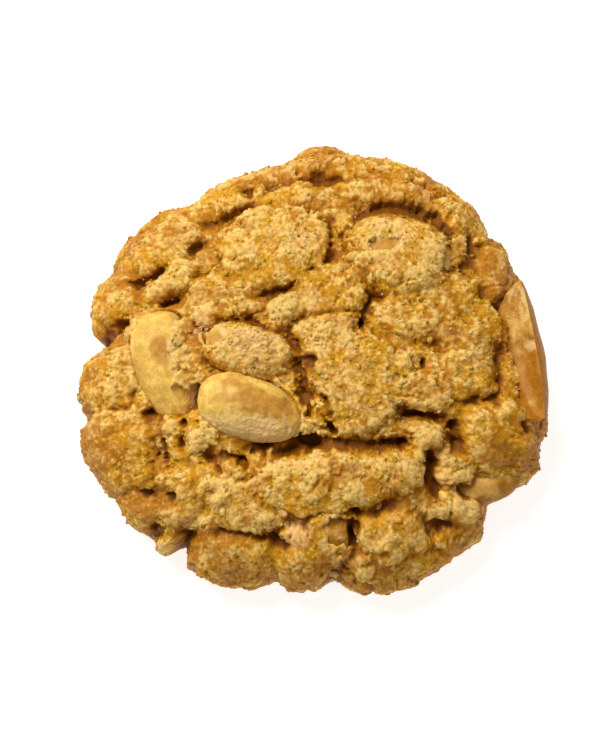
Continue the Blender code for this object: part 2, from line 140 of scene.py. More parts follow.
# Raised clods of dough: place, half-length, half-width, turn in degrees, and lift above the dome.
Clod = namedtuple("Clod", "name x y long wide turn lift")
CLODS = [
    Clod("crown_left", -5.7, 17.4, 8.2, 7.0, 5, 1.3),
    Clod("crown_mid", 2.6, 10.8, 6.0, 4.3, 10, 0.8),
    Clod("right_mid", 18.0, 8.2, 9.0, 5.6, -8, 0.6),
    Clod("right_high", 24.6, 5.0, 4.2, 4.6, 0, 0.5),
    Clod("heart", 5.4, -3.4, 7.2, 8.2, 8, 1.1),
    Clod("heart_upper", 2.2, 4.0, 5.4, 2.9, 12, 0.7),
    Clod("pebble", 15.6, -3.2, 5.4, 5.0, 0, 0.9),
    Clod("right_shoulder", 23.6, -1.8, 4.4, 4.4, 10, 0.8),
    Clod("tab", 16.8, -11.6, 2.6, 2.2, 30, 0.6),
    Clod("east_lump", 28.2, -11.4, 5.6, 6.4, 20, 1.3),
    Clod("terrace", 2.6, -18.4, 9.8, 4.6, 3, 0.8),
    Clod("terrace_right", 13.0, -16.6, 4.4, 3.4, 14, 0.9),
    Clod("front_left", -11.6, -20.6, 8.0, 5.4, -8, 0.6),
    Clod("foot_left", -11.2, -29.2, 6.8, 3.7, -4, 0.2),
    Clod("foot_mid", -1.6, -29.0, 4.4, 4.2, 0, 0.6),
    Clod("foot_right", 11.8, -28.0, 6.0, 5.4, 10, 0.6),
    Clod("foot_east", 21.2, -23.8, 4.4, 4.4, 0, 0.4),
    Clod("heel_right", 19.0, -29.2, 5.2, 2.7, 28, -0.2),
    Clod("west_lump", -29.6, -12.8, 5.9, 6.3, 0, 1.0),
    Clod("west_upper", -30.6, -1.8, 4.4, 5.2, 0, 0.8),
    Clod("northwest_rim", -30.4, 10.2, 3.9, 4.7, -15, 0.6),
    Clod("above_left_kernel", -22.0, 12.4, 5.4, 3.0, 15, 0.6),
    Clod("left_field", -13.0, 9.4, 6.4, 4.3, 8, 0.5),
    Clod("northwest_upper", -22.2, 19.0, 6.5, 3.7, 40, 0.5),
    Clod("northwest_ridge", -13.6, 26.0, 7.0, 2.8, 26, 0.8),
    Clod("north_roll", -3.9, 25.6, 4.8, 2.3, 20, 0.5),
    Clod("north_rim_left", -3.6, 30.6, 6.4, 2.1, 8, 0.4),
    Clod("north_rim", 8.6, 31.0, 8.2, 2.6, -6, 0.7),
    Clod("north_bank", 11.0, 26.9, 8.0, 2.3, -8, 0.7),
    Clod("northeast_lump", 21.6, 22.0, 4.4, 5.3, 35, 0.8),
    Clod("northeast_knob", 22.0, 16.6, 2.3, 1.8, 10, 0.3),
    Clod("east_rim", 27.8, 14.6, 2.9, 4.8, 18, 0.1),
    Clod("crumb_field", 4.8, 20.6, 2.3, 3.6, 0, -0.5),
    Clod("pale_ridge", -4.0, 7.4, 4.0, 2.6, 35, 0.8),
    Clod("speckled", -18.6, -12.0, 5.2, 4.0, 5, 0.2),
    Clod("lower_left", -19.2, -20.4, 4.4, 5.2, 10, 0.4),
    Clod("southwest_rim", -26.0, -20.8, 4.4, 3.6, -45, 0.2),
    Clod("southwest_foot", -20.8, -27.4, 3.4, 2.8, -30, 0.2),
    Clod("southeast_small", 22.0, -16.2, 2.9, 3.2, 0, 0.3),
    Clod("left_gap_low", -26.6, 4.0, 2.4, 3.0, 20, -0.2),
]

# Cracks and pits, as a run of places with a half-width and a depth.
Crack = namedtuple("Crack", "half_width depth places")
CRACKS = [
    Crack(1.30, 4.0, [(-8.6, -13.3), (-3.5, -13.8), (1.6, -13.0)]),
    Crack(0.30, 1.2, [(-13.8, -25.0), (-8.6, -26.4), (-3.6, -27.2)]),
    Crack(0.75, 3.2, [(1.6, -13.0), (8.5, -13.2), (13.6, -12.8)]),
    Crack(1.90, 1.5, [(-1.4, -1.0), (-1.0, -4.4), (1.0, -8.6)]),
    Crack(0.60, 2.6, [(-2.4, 2.5), (-2.0, -0.1), (-1.2, -4.4), (0.8, -8.2), (3.3, -11.2)]),
    Crack(0.55, 1.8, [(2.6, 21.4), (2.7, 17.1), (2.3, 15.2)]),
    Crack(0.45, 1.7, [(2.3, 15.2), (-1.2, 13.2), (-3.5, 10.9), (-7.7, 9.7)]),
    Crack(1.00, 2.8, [(7.1, 22.4), (10.8, 24.0), (14.6, 24.1), (18.3, 22.6), (20.3, 19.8)]),
    Crack(0.45, 3.2, [(9.2, 12.5), (9.2, 9.9)]),
    Crack(0.22, 1.5, [(9.2, 9.9), (7.8, 7.6), (7.2, 6.0)]),
    Crack(0.50, 3.0, [(7.2, 5.8), (7.1, 4.6)]),
    Crack(0.45, 3.0, [(13.8, -8.5), (16.8, -8.6), (19.4, -8.9)]),
    Crack(0.90, 3.0, [(17.6, -14.8), (17.3, -18.1), (18.8, -20.0)]),
    Crack(0.55, 4.2, [(5.9, -23.2), (5.9, -27.8)]),
    Crack(0.80, 3.4, [(21.0, -10.4), (21.6, -12.4)]),
    Crack(0.40, 2.4, [(24.3, -5.6), (27.3, -5.9)]),
    Crack(0.50, 3.0, [(28.0, 2.6), (27.8, -2.8)]),
    Crack(0.70, 3.8, [(-25.4, -8.2), (-23.0, -8.2)]),
    Crack(0.90, 3.0, [(-18.4, -7.2), (-17.0, -7.8)]),
    Crack(0.55, 2.6, [(-19.3, -9.6), (-19.1, -9.9)]),
    Crack(0.42, 2.4, [(-19.5, -12.3), (-19.3, -12.8)]),
    Crack(0.75, 2.8, [(-10.6, -15.5), (-10.3, -16.1)]),
    Crack(1.50, 1.3, [(-14.7, -14.3), (-10.2, -16.6)]),
    Crack(0.70, 2.4, [(-27.2, 12.2), (-23.3, 14.0)]),
    Crack(0.50, 1.8, [(-16.2, 22.1), (-9.5, 24.3)]),
    Crack(0.50, 2.0, [(-18.5, 17.1), (-17.4, 18.1)]),
    Crack(0.35, 2.0, [(-23.0, 8.7), (-20.7, 9.4)]),
    Crack(1.00, 2.4, [(-32.0, 4.6), (-30.8, 5.8), (-29.0, 6.8)]),
    Crack(0.45, 2.2, [(-13.7, 5.3), (-11.3, 5.6)]),
    Crack(0.40, 2.4, [(-9.9, 6.0), (-8.7, 4.4)]),
    Crack(0.60, 2.4, [(17.6, -24.4), (20.6, -24.2)]),
    Crack(0.45, 1.8, [(9.3, -23.2), (11.3, -21.6)]),
    Crack(0.80, 2.6, [(22.4, -19.0), (25.4, -19.6)]),
    Crack(0.60, 1.8, [(-26.2, -19.0), (-20.7, -20.0)]),
    Crack(0.60, 2.0, [(-23.8, -24.2), (-23.4, -24.8)]),
    Crack(0.50, 2.0, [(-6.2, -26.4), (-4.2, -27.6)]),
    Crack(1.40, 2.0, [(-1.2, 29.6), (3.3, 28.6)]),
    Crack(0.60, 2.2, [(-9.8, 26.6), (-9.6, 27.2)]),
    Crack(0.50, 2.0, [(25.6, 10.2), (26.0, 10.6)]),
    Crack(0.90, 2.4, [(29.2, 10.2), (28.8, 9.0)]),
    Crack(0.60, 1.4, [(31.2, -9.0), (31.8, -9.6)]),
    Crack(0.60, 1.8, [(4.1, -30.4), (4.0, -31.6)]),
    Crack(0.40, 3.0, [(-19.0, -25.8), (-20.2, -29.4)]),
    Crack(0.25, 1.2, [(-22.2, -12.0), (-21.9, -15.1)]),
    Crack(0.60, 2.0, [(22.6, 15.0), (23.2, 15.6)]),
    Crack(1.10, 1.6, [(23.8, 19.0), (25.6, 18.0)]),
    Crack(0.85, 2.4, [(5.4, 18.6), (5.9, 17.8)]),
    Crack(0.50, 1.8, [(7.6, 14.0), (8.6, 13.4)]),
    Crack(0.45, 2.2, [(16.0, -0.4), (16.4, -1.2)]),
]

# Patches of the crust: how browned they are, how dry and pale, and how pink.
Patch = namedtuple("Patch", "x y reach toast dry pink")
PATCHES = [
    Patch(8.6, -8.2, 3.4, 0.8, 0.0, 0.0),
    Patch(3.0, -17.6, 4.0, 0.7, 0.0, 0.0),
    Patch(11.0, -17.8, 4.4, 0.9, 0.0, 0.0),
    Patch(28.6, -11.6, 6.0, 1.0, -0.7, 0.0),
    Patch(20.6, 9.4, 3.6, 0.8, 0.0, 0.0),
    Patch(0.6, 29.6, 4.2, 0.9, -0.2, 0.0),
    Patch(8.6, 31.2, 6.5, 0.5, -0.2, 0.0),
    Patch(-8.8, -14.6, 2.6, 1.0, -0.5, 0.0),
    Patch(27.8, 14.6, 4.4, 0.7, -0.6, 0.0),
    Patch(-29.8, -12.6, 5.6, 0.4, -0.5, 0.0),
    Patch(-11.0, -29.0, 6.0, 0.1, 0.3, 0.0),
    Patch(19.5, -29.0, 5.0, 0.5, -0.6, 0.0),
    Patch(-24.6, 13.2, 4.0, 0.6, 0.0, 0.0),
    Patch(-14.0, 22.0, 4.0, 0.6, 0.0, 0.0),
    Patch(12.8, 24.6, 5.4, 0.8, -0.3, 0.0),
    Patch(6.0, 12.0, 2.6, 0.3, 0.0, 0.0),
    Patch(-2.0, 17.6, 4.6, -0.5, 0.9, 0.4),
    Patch(-8.0, 19.6, 4.0, -0.4, 0.6, 0.3),
    Patch(-4.6, 9.2, 3.6, -0.5, 0.9, 0.0),
    Patch(1.0, 3.8, 3.4, -0.4, 0.8, 0.0),
    Patch(13.0, -1.6, 3.6, -0.3, 0.6, 0.0),
    Patch(-2.0, -25.6, 3.0, 0.0, 0.5, 0.9),
    Patch(16.4, 12.0, 4.0, -0.3, 0.5, 0.0),
    Patch(-17.6, -12.0, 4.0, -0.2, 0.7, 0.3),
    Patch(6.0, 20.6, 3.0, -0.2, 0.7, 0.0),
    Patch(-9.0, 2.6, 5.0, -0.4, 0.9, 0.7),
    Patch(-17.4, 4.0, 3.6, 0.1, 0.4, 0.7),
    Patch(12.4, 17.8, 4.6, 0.0, 0.5, 0.5),
    Patch(19.6, -18.6, 2.4, 0.0, 0.4, 0.8),
    Patch(-5.6, 13.2, 2.6, 0.0, 0.3, 0.5),
]

# Peanut kernels: place of the middle, length, width, thickness, then turn, lean and roll in degrees, and
# how far above its middle, as a share of its thickness, the dough meets a kernel that lies on it.
Kernel = namedtuple("Kernel", "name x y z length width thickness turn lean roll seat")
KERNELS = {
    kernel.name: kernel
    for kernel in (
        Kernel("peanut_front", -9.4, -7.4, 15.2, 15.8, 9.4, 7.6, -19, 2, 6, 0.02),
        Kernel("peanut_left", -21.6, -0.3, 11.4, 17.2, 10.4, 8.0, -76, 4, -16, 0.12),
        Kernel("peanut_right", 29.9, 1.6, 10.4, 21.6, 9.8, 5.2, 98, 2, 135, 0.0),
        Kernel("peanut_crumbed", -9.4, 1.7, 15.4, 13.2, 6.2, 5.6, -14, 2, 0, 0.1),
        Kernel("peanut_top", 13.2, 17.2, 12.3, 16.4, 11.2, 8.8, -10, 5, -14, 0.1),
        Kernel("peanut_side", 25.9, -17.2, 7.2, 11.8, 6.6, 6.2, 18, -2, 0, 0.0),
        Kernel("peanut_chunk", 2.6, -25.2, 10.4, 8.6, 6.4, 5.4, 4, 0, 20, 0.2),
    )
}
LYING_KERNELS = ("peanut_front", "peanut_left", "peanut_crumbed", "peanut_top", "peanut_chunk")
FACE_RINGS = (0.93, 0.9, 0.86, 0.8, 0.75, 0.7, 0.6, 0.5)

# Where a broken kernel ends, on a ball of radius 1: a place on the break, and the way out of it.
BREAKS = {"peanut_chunk": ((0.60, 0, 0), (1, 0, 0.08))}

# Rolled oats in the crust: place, then turn in degrees.
OATS = [
    (-11.0, 15.2, 20), (16.4, 6.2, 70), (21.4, 1.6, 10), (-19.2, 15.0, 40), (-14.6, -19.6, 0),
    (22.6, -21.4, 60), (11.4, -27.6, 30), (-31.0, -5.2, 80), (0.4, -18.8, 50), (-4.6, 7.8, 35),
]
# Small pale chips of peanut that stick out of the crust: place, length, width, and turn in degrees.
CHIPS = [
    (6.1, 15.6, 2.7, 1.6, -25), (20.5, 0.7, 1.8, 1.3, 20), (11.2, -27.6, 2.0, 1.3, 0),
    (19.4, -20.0, 2.0, 1.5, 60), (5.1, -20.8, 1.9, 1.2, 10), (-11.0, 11.2, 1.7, 1.3, 30),
    (-17.7, -1.6, 1.5, 1.1, 0), (-15.5, 1.2, 1.2, 1.0, 50), (17.4, 3.0, 1.3, 0.9, 80),
    (-13.4, -22.6, 1.6, 1.1, 15), (-4.4, -22.6, 1.8, 1.3, 35), (24.4, 12.6, 1.5, 1.2, 70),
    (-26.8, -6.8, 1.7, 1.3, 0), (-19.8, -17.2, 1.5, 1.1, 25), (-4.6, 22.6, 1.6, 1.1, 10),
    (9.6, -21.6, 1.5, 1.0, 40),
]
CHIP_FLATNESS = 0.8
CHIP_SINK = 0.12
CHIP_FACETS = 3

# An oat flake's size, how far it lifts the crust, its groove, and where its edge falls off.
OAT_LENGTH = 5.2
OAT_WIDTH = 4.0
OAT_RISE = 0.5
OAT_GROOVE = 0.25
OAT_EDGE = (0.78, 1.15)

# The masks that the crust and its crumbs carry for their finish: painted shade in the hollows, toasting
# (with painted shade toward the rim), dryness and pinkness.
MASKS = ("hollow", "toast", "dry", "pink")

# The finishes: how light spreads inside, how strongly surfaces shine, and the depth and strength of bumps.
SUBSURFACE = {"Subsurface_Radius": (1.0, 0.42, 0.14), "Subsurface_Scale": 0.0016}
SPECULAR = 0.22
CRUST_SPECULAR = 0.2
CRUST_BUMP = (0.0002, 1.0)
KERNEL_BUMP = (0.00014, 0.9)

# Loose grains: smallest and largest size in mm, and the bevel in metres.
SUGAR_COLOUR = (0.92, 0.76, 0.50, 1)
SUGAR_SIZES = (0.10, 0.22)
SUGAR_BEVEL = 0.00004
FINE_CRUMB_SIZES = (0.24, 0.55)
COARSE_CRUMB_SIZES = (0.55, 1.0)

# The stage, in metres. Lights are place, size, power and colour. The camera looks at the photo's middle.
FLOOR_SIZE = 1.5
FLOOR_DROP = 0.00005
FLOOR_COLOUR = (0.5, 0.5, 0.5, 1)
FLOOR_GLOW = 0.8
LIGHT_AIM = (0, 0, 0.008)
KEY_LIGHT = ((-0.21, 0.28, 0.46), 0.36, 3.9, (1.0, 0.97, 0.93))
FILL_LIGHT = ((0.30, -0.42, 0.40), 0.50, 0.35, (1.0, 0.98, 0.96))
SKY_COLOUR = (1, 0.97, 0.76, 1)
SKY_STRENGTH = 0.27
AIM = np.array((-1.95, -0.78, 8.0))


class DoughLook(bpy.types.PropertyGroup):
    cells: IntProperty(name="Cells", description="Grid cells across the crust", default=300, min=40)
    valley: FloatProperty(
        name="Valley", description="Height of the ground between clods over the dome, in mm", default=-0.35
    )
    lumps: FloatProperty(name="Lumps", description="Height of the broad lumps, in mm", default=0.45)
    lobes: FloatProperty(
        name="Lobes", description="Height of the lobes that the crust broke into, in mm", default=0.52
    )
    crags: FloatProperty(name="Crags", description="Height of the fine crags, in mm", default=0.13)
    crumbs: FloatProperty(
        name="Crumbs", description="Height of the crumbs in the crust, in mm", default=0.22
    )
    pits: FloatProperty(name="Pits", description="Depth of the small ragged pits, in mm", default=0.55)
    coat: FloatProperty(name="Coat", description="Thickness of the crumb over a kernel, in mm", default=0.7)
    overhang: FloatProperty(
        name="Overhang", description="How far deep places lean back under the lips behind them", default=0.35
    )
    crumb: FloatVectorProperty(
        name="Crumb", description="Main colour of the crust", subtype="COLOR", size=4,
        default=(0.59, 0.297, 0.009, 1),
    )
    pale: FloatVectorProperty(
        name="Pale crumb", description="Colour of dry, broken crumb", subtype="COLOR", size=4,
        default=(0.785, 0.530, 0.170, 1),
    )
    # Colour in the cracks and hollows: the darker crumb there together with painted shade.
    deep: FloatVectorProperty(
        name="Hollows and shade", description="Colour down in the cracks", subtype="COLOR", size=4,
        default=(0.21, 0.062, 0.002, 1),
    )
    toasted: FloatVectorProperty(
        name="Toasted", description="Colour of the browned patches", subtype="COLOR", size=4,
        default=(0.46, 0.181, 0.002, 1),
    )
    pink: FloatVectorProperty(
        name="Pink crumb", description="Colour of crumb stained by nut skin", subtype="COLOR", size=4,
        default=(0.79, 0.485, 0.20, 1),
    )


class KernelLook(bpy.types.PropertyGroup):
    skin: FloatVectorProperty(
        name="Kernel", description="Main colour of a bare roasted kernel", subtype="COLOR", size=4,
        default=(0.79, 0.525, 0.125, 1),
    )
    blush: FloatVectorProperty(
        name="Blush", description="Colour of a kernel's browner patches", subtype="COLOR", size=4,
        default=(0.55, 0.28, 0.045, 1),
    )
    # This flour colour also makes the painted highlight on the half kernel's upper face.
    dust: FloatVectorProperty(
        name="Dust", description="Colour of the sugary flour baked onto a kernel", subtype="COLOR", size=4,
        default=(0.78, 0.53, 0.22, 1),
    )
    tan: FloatVectorProperty(
        name="Tan kernel", description="Main colour of the kernels in the rim", subtype="COLOR", size=4,
        default=(0.68, 0.40, 0.095, 1),
    )
    # This colour also makes the painted shade on the half kernel's back.
    toasted: FloatVectorProperty(
        name="Toasted kernel", description="Colour of their browner patches", subtype="COLOR", size=4,
        default=(0.40, 0.165, 0.010, 1),
    )


class ScatterLook(bpy.types.PropertyGroup):
    crumbs: IntProperty(name="Crumbs", description="How many small crumbs cling to the crust", default=2600)
    clods: IntProperty(name="Clods", description="How many larger crumbs cling to the crust", default=360)
    sugar: IntProperty(name="Sugar", description="How many sugar grains glint on the crust", default=320)


class StageLook(bpy.types.PropertyGroup):
    elevation: FloatProperty(
        name="Elevation", description="The camera's height angle", default=math.radians(78), subtype="ANGLE"
    )
    lens: FloatProperty(name="Lens", description="Focal length in mm", default=120)
    distance: FloatProperty(
        name="Distance", description="From the camera to the cookie", default=0.379, subtype="DISTANCE"
    )


def eased(value, low, high):
    """0 below low, 1 above high, and a smooth step between, for numbers and arrays."""
    share = np.clip((value - low) / (high - low), 0, 1)
    return share * share * (3 - 2 * share)


def noise_table(seed, low):
    """Three random numbers, from low to 1, for each corner of a block of cells that repeats."""
    return np.random.RandomState(seed).uniform(low, 1, (NOISE_SIDE, NOISE_SIDE, NOISE_SIDE, 3))


SLOPES = noise_table(1, -1)
SPOTS = noise_table(2, 0)


def at_cells(table, cells):
    inside = cells & (NOISE_SIDE - 1)
    return table[inside[:, 0], inside[:, 1], inside[:, 2]]


def wander(points, size, seed):
    """Smooth noise, mostly from -1 to 1, at each point, with features of about the size given."""
    place = points / size + seed * NOISE_STRIDE
    cells = np.floor(place).astype(int)
    inside = place - cells
    fade = inside**3 * (inside * (inside * 6 - 15) + 10)
    total = np.zeros(len(points))
    for corner in itertools.product((0, 1), repeat=3):
        weight = np.prod(np.where(np.array(corner) == 1, fade, 1 - fade), axis=1)
        total += weight * (at_cells(SLOPES, cells + corner) * (inside - corner)).sum(axis=1)
    return 1.6 * total


def packed(points, size, seed):
    """Distance to the nearest spot of a loose packing, how much further the next one is, and its chance."""
    place = points / size + seed * NOISE_STRIDE
    cells = np.floor(place).astype(int)
    nearest = np.full(len(points), 9.0)
    second = nearest.copy()
    chance = np.zeros(len(points))
    for step in itertools.product((-1, 0, 1), repeat=3):
        spots = at_cells(SPOTS, cells + step)
        away = np.linalg.norm(place - cells - step - spots, axis=1)
        closer = away < nearest
        second = np.where(closer, nearest, np.minimum(second, away))
        nearest = np.where(closer, away, nearest)
        chance = np.where(closer, spots[:, 0], chance)
    return nearest, second - nearest, chance


def crumb_bumps(points, size, seed):
    """Crumbs of uneven height packed side by side, from 0 where they meet to 1."""
    nearest, further, chance = packed(points, size, seed)
    return (0.25 + 0.75 * chance) * np.clip(1 - 1.2 * nearest * nearest, 0, 1) * eased(further, 0, 0.3)


def lobes(points, size, seed):
    """Soft lobes of uneven height with sharp creases where they meet, from 0 to 1."""
    nearest, further, chance = packed(points, size, seed)
    dome = np.sqrt(np.clip(1 - nearest * nearest, 0, 1))
    return (0.45 + 0.55 * chance) * dome * eased(further, -0.08, 0.30)


def layered(kind, points, layers):
    """The sum of layers of one kind of relief, each with a share, a size and a seed."""
    return sum(share * kind(points, size, seed) for share, size, seed in layers)


def crags(points, seed):
    """Sharp, broken unevenness at three sizes, about -1 to 1."""
    sizes = ((1.7, 0.8), (0.9, 0.55), (0.48, 0.38))
    return sum(height * wander(points, size, seed + size) for size, height in sizes)


def pits(points, seed):
    """1 in small ragged holes and 0 elsewhere."""
    shape = wander(points, 1.9, seed) + 0.7 * wander(points, 0.8, seed + 3)
    shape += 0.3 * wander(points, 0.4, seed + 5)
    return eased(shape, 0.80, 1.15)


def creases(points, size, seed):
    """1 along thin wandering lines and 0 elsewhere."""
    line = np.abs(wander(points, size, seed) + 0.12 * wander(points, 0.7, seed + 2))
    return (1 - eased(line, 0.02, 0.09)) * eased(wander(points, 2.3 * size, seed + 4), 0.0, 0.3)


def dome_profile():
    """The envelope's section from the middle of the top to the base edge, and its running length."""
    over = np.linspace(0, math.pi / 2, PROFILE_STEPS + 1)
    reach = REFERENCE_REACH * np.sin(over) ** (2 / DOME_SQUARENESS)
    height = WIDEST_HEIGHT + (CROWN_HEIGHT - WIDEST_HEIGHT) * np.cos(over)
    under = np.linspace(0, math.pi / 2, PROFILE_STEPS // 4 + 1)[1:]
    reach = np.concatenate((reach, REFERENCE_REACH - BASE_TUCK * (1 - np.cos(under))))
    height = np.concatenate((height, WIDEST_HEIGHT * (1 - np.sin(under))))
    steps = np.hypot(np.diff(reach), np.diff(height))
    return reach, height, np.concatenate(([0], np.cumsum(steps)))


def rim_reach(angle):
    """How far the edge reaches at each angle in radians."""
    degrees = np.degrees(angle) % 360
    stops = np.array(RIM + [(RIM[0][0] + 360, RIM[0][1])])
    after = np.clip(np.searchsorted(stops[:, 0], degrees, side="left"), 1, len(stops) - 1)
    low, high = stops[after - 1], stops[after]
    return low[:, 1] + (high[:, 1] - low[:, 1]) * eased(degrees, low[:, 0], high[:, 0])


def ragged(plan, seed):
    """A wander in millimetres, coarse and fine together, so that no clod or crack has a smooth edge."""
    seed = np.array((0, 0, seed))
    return sum(height * wander(plan, size, seed) for size, height in RAG_SIZES_AND_HEIGHTS)


def turned(plan, x, y, degrees):
    """How far each place lies along and across a direction through a point."""
    turn = math.radians(degrees)
    dx = plan[:, 0] - x
    dy = plan[:, 1] - y
    return dx * math.cos(turn) + dy * math.sin(turn), dy * math.cos(turn) - dx * math.sin(turn)


def clod_heights(plan, valley):
    """Height of the clods above the dome."""
    ground = valley * (0.3 + 0.7 * eased(wander(plan, 6.5, 63.0), -0.45, 0.2))
    softness = 1 + 1.4 * eased(wander(plan, 7.5, 65.0), -0.15, 0.4)
    height = ground.copy()
    for index, clod in enumerate(CLODS):
        along, across = turned(plan, clod.x, clod.y, clod.turn)
        along = np.abs(along) / clod.long
        across = np.abs(across) / clod.wide
        distance = (along**CLOD_SQUARENESS + across**CLOD_SQUARENESS) ** (1 / CLOD_SQUARENESS)
        near = np.flatnonzero(distance < CLOD_RANGE)
        distance = distance[near]
        inside = (1 - distance) * math.sqrt(clod.long * clod.wide)
        inside += ragged(plan[near], CLOD_NOISE_STEP * index)
        top = LIFT_SHARE * clod.lift + CLOD_CROWN * (1 - np.minimum(1, distance * distance))
        low, high = CLOD_EDGE
        rise = eased(inside, low * softness[near], high * softness[near])
        height[near] = np.maximum(height[near], ground[near] + (top - ground[near]) * rise)
    return height


def distance_to_run(places, plan):
    nearest = np.full(len(plan), 1e9)
    for start, end in zip(places, places[1:]):
        start = np.array(start)
        run = np.array(end) - start
        away = plan[:, :2] - start
        along = np.clip(away @ run / (run @ run), 0, 1)
        nearest = np.minimum(nearest, np.linalg.norm(away - along[:, None] * run, axis=1))
    return nearest


def crack_depths(plan):
    """How deep each place lies in a crack."""
    depth = np.zeros(len(plan))
    sides = np.zeros(len(plan))
    for index, crack in enumerate(CRACKS):
        away = distance_to_run(crack.places, plan)
        near = np.flatnonzero(away < crack.half_width + BANK_REACH + 1)
        rag = ragged(plan[near], CRACK_NOISE_START + CRACK_NOISE_STEP * index)
        away = away[near] + rag * min(1.0, 0.35 + 0.6 * crack.half_width)
        away += 0.45 * crack.half_width * wander(plan[near], 2.0, 141.0)
        edge = min(CRACK_EDGE[0], 0.9 * crack.half_width)
        open_share = 1 - eased(away, crack.half_width - edge, crack.half_width + CRACK_EDGE[1])
        bank = CRACK_BANK * crack.depth * (1 - eased(away, 0.0, crack.half_width + BANK_REACH)) ** 2
        sides[near] = np.maximum(sides[near], bank)
        depth[near] = np.maximum(depth[near], crack.depth * open_share)
    return np.maximum(sides, depth * np.clip(0.75 + 1.1 * wander(plan, 2.6, 131.0), 0.12, 1.1))


def patch_masks(plan):
    """How browned, how dry and how pink each place of the crust is."""
    sway = np.column_stack((wander(plan, 2.6, 31.0), wander(plan, 2.6, 47.0), np.zeros(len(plan))))
    wavy = plan + 2.0 * sway
    masks = np.zeros((3, len(plan)))
    for patch in PATCHES:
        away = np.hypot(wavy[:, 0] - patch.x, wavy[:, 1] - patch.y)
        near = 1 - eased(away, 0.35 * patch.reach, patch.reach)
        masks += np.outer((patch.toast, patch.dry, patch.pink), near)
    return masks


def kernel_matrix(kernel):
    """Turns a kernel lying along X with its round side up, and puts it in its place, in metres."""
    turn = Matrix.Rotation(math.radians(kernel.turn), 4, "Z")
    lean = Matrix.Rotation(math.radians(kernel.lean), 4, "Y")
    roll = Matrix.Rotation(math.radians(kernel.roll), 4, "X")
    place = Vector((kernel.x, kernel.y, kernel.z)) - Vector(PLAN_MIDDLE)
    return Matrix.Translation(place * MM) @ turn @ lean @ roll


def over_kernel(kernel, plan):
    """Where each place lies over a kernel: its share along and across, and how far the tilt lifts it."""
    along, across = turned(plan, kernel.x, kernel.y, kernel.turn)
    tilt = across * math.sin(math.radians(kernel.roll)) - along * math.sin(math.radians(kernel.lean))
    return along / (kernel.length / 2), across / (kernel.width / 2), tilt


def kernel_swell(along, fullness):
    """How wide a kernel is at each place along it, from 0 at its ends to about 1."""
    return np.clip(1 - np.abs(along) ** fullness, 0, 1) ** (1 / fullness) * (1 - KERNEL_NARROWING * along)


def left_cover(plan):
    edge = plan[:, 0] + 1.5 * wander(plan, 2.2, 89.0) + 0.7 * wander(plan, 0.9, 97.0)
    upright = plan[:, 1] + 1.2 * wander(plan, 2.0, 93.0) + 0.5 * wander(plan, 0.9, 95.0)
    return eased(edge, -21.4, -20.8) * eased(upright, -4.4, -4.0) * (1 - eased(upright, 6.6, 7.2))


def top_cover(plan):
    window = np.hypot((plan[:, 0] - 10.3) / 1.9, (plan[:, 1] - 17.5) / 0.8) + 0.7 * wander(plan, 1.2, 101.0)
    end = np.hypot((plan[:, 0] - 20.8) / 1.1, (plan[:, 1] - 15.2) / 2.2) + 0.6 * wander(plan, 1.4, 103.0)
    return eased(window, *WINDOW_EDGE) * eased(end, *WINDOW_EDGE)


def crumbed_cover(plan):
    end = np.hypot((plan[:, 0] + 14.6) / 2.0, (plan[:, 1] - 3.4) / 1.5) + 0.5 * wander(plan, 1.4, 107.0)
    return eased(end, *WINDOW_EDGE)


def chunk_cover(plan):
    left = plan[:, 0] + 1.0 * wander(plan, 1.5, 111.0)
    upright = plan[:, 1] + 0.8 * wander(plan, 1.4, 112.0)
    return 1 - eased(left, 2.0, 2.4) * eased(upright, -27.6, -27.2) * (1 - eased(upright, -24.0, -23.6))


COVERS = {
    "peanut_left": left_cover,
    "peanut_crumbed": crumbed_cover,
    "peanut_top": top_cover,
    "peanut_chunk": chunk_cover,
}


def drape(kernel, along, across, coat):
    """The height of crumb that lies over a kernel and runs out past its edge, furthest at the front."""
    reach = np.hypot(along, np.where(across < 0, DRAPE_SKIRT * across, across)) / DRAPE_SPREAD
    low = kernel.z - DRAPE_DROP * kernel.thickness
    high = kernel.z + kernel.thickness / 2 + coat
    return low + (high - low) * (1 - reach**4)


def seated_heights(place, texture, coat):
    """The crust's heights, sunk round each bare kernel and laid over it where crumb covers it."""
    height = place[:, 2].copy()
    for name in LYING_KERNELS:
        kernel = KERNELS[name]
        along, across, tilt = over_kernel(kernel, place)
        margin = 2 * SEAT_MARGIN
        along_share = along * kernel.length / (kernel.length + margin)
        across_share = across * kernel.width / (kernel.width + margin)
        near = 1 - eased(np.hypot(along_share, across_share), *SEAT_EDGE)
        seat = kernel.z + kernel.seat * kernel.thickness
        sunk = height - near * np.maximum(0, height - seat)
        if name in COVERS:
            torn = along + 0.11 * wander(place, 2.2, 133.0) + 0.05 * wander(place, 0.9, 135.0)
            laid = np.maximum(height, drape(kernel, torn, across, coat) + tilt + texture)
            sunk = sunk + (laid - sunk) * COVERS[name](place)
        height = sunk
    return height


def square_to_disc(square):
    """Maps the square from -1 to 1 onto the unit disc with cells of even size: radius share and angle."""
    x, y = square[:, 0], square[:, 1]
    share = np.maximum(np.abs(x), np.abs(y))
    safe = np.where(share > 0, share, 1)
    wide = np.abs(x) >= np.abs(y)
    slant = np.where(wide, y, x) / safe * math.pi / 4
    angle = np.where(wide, slant, math.pi / 2 - slant)
    behind = np.where(wide, x < 0, y < 0)
    return share, np.where(behind, np.where(wide, math.pi - slant, -math.pi / 2 + slant), angle)


def blurred(field, reach):
    """A square field averaged over a window of cells, with its edges repeated."""
    for _ in range(2):
        total = np.cumsum(np.pad(field, [(reach + 1, reach), (0, 0)], mode="edge"), axis=0)
        field = ((total[2 * reach + 1 :] - total[: -2 * reach - 1]) / (2 * reach + 1)).T
    return field


def places_of(vertices):
    return np.array([vertex.co[:] for vertex in vertices])


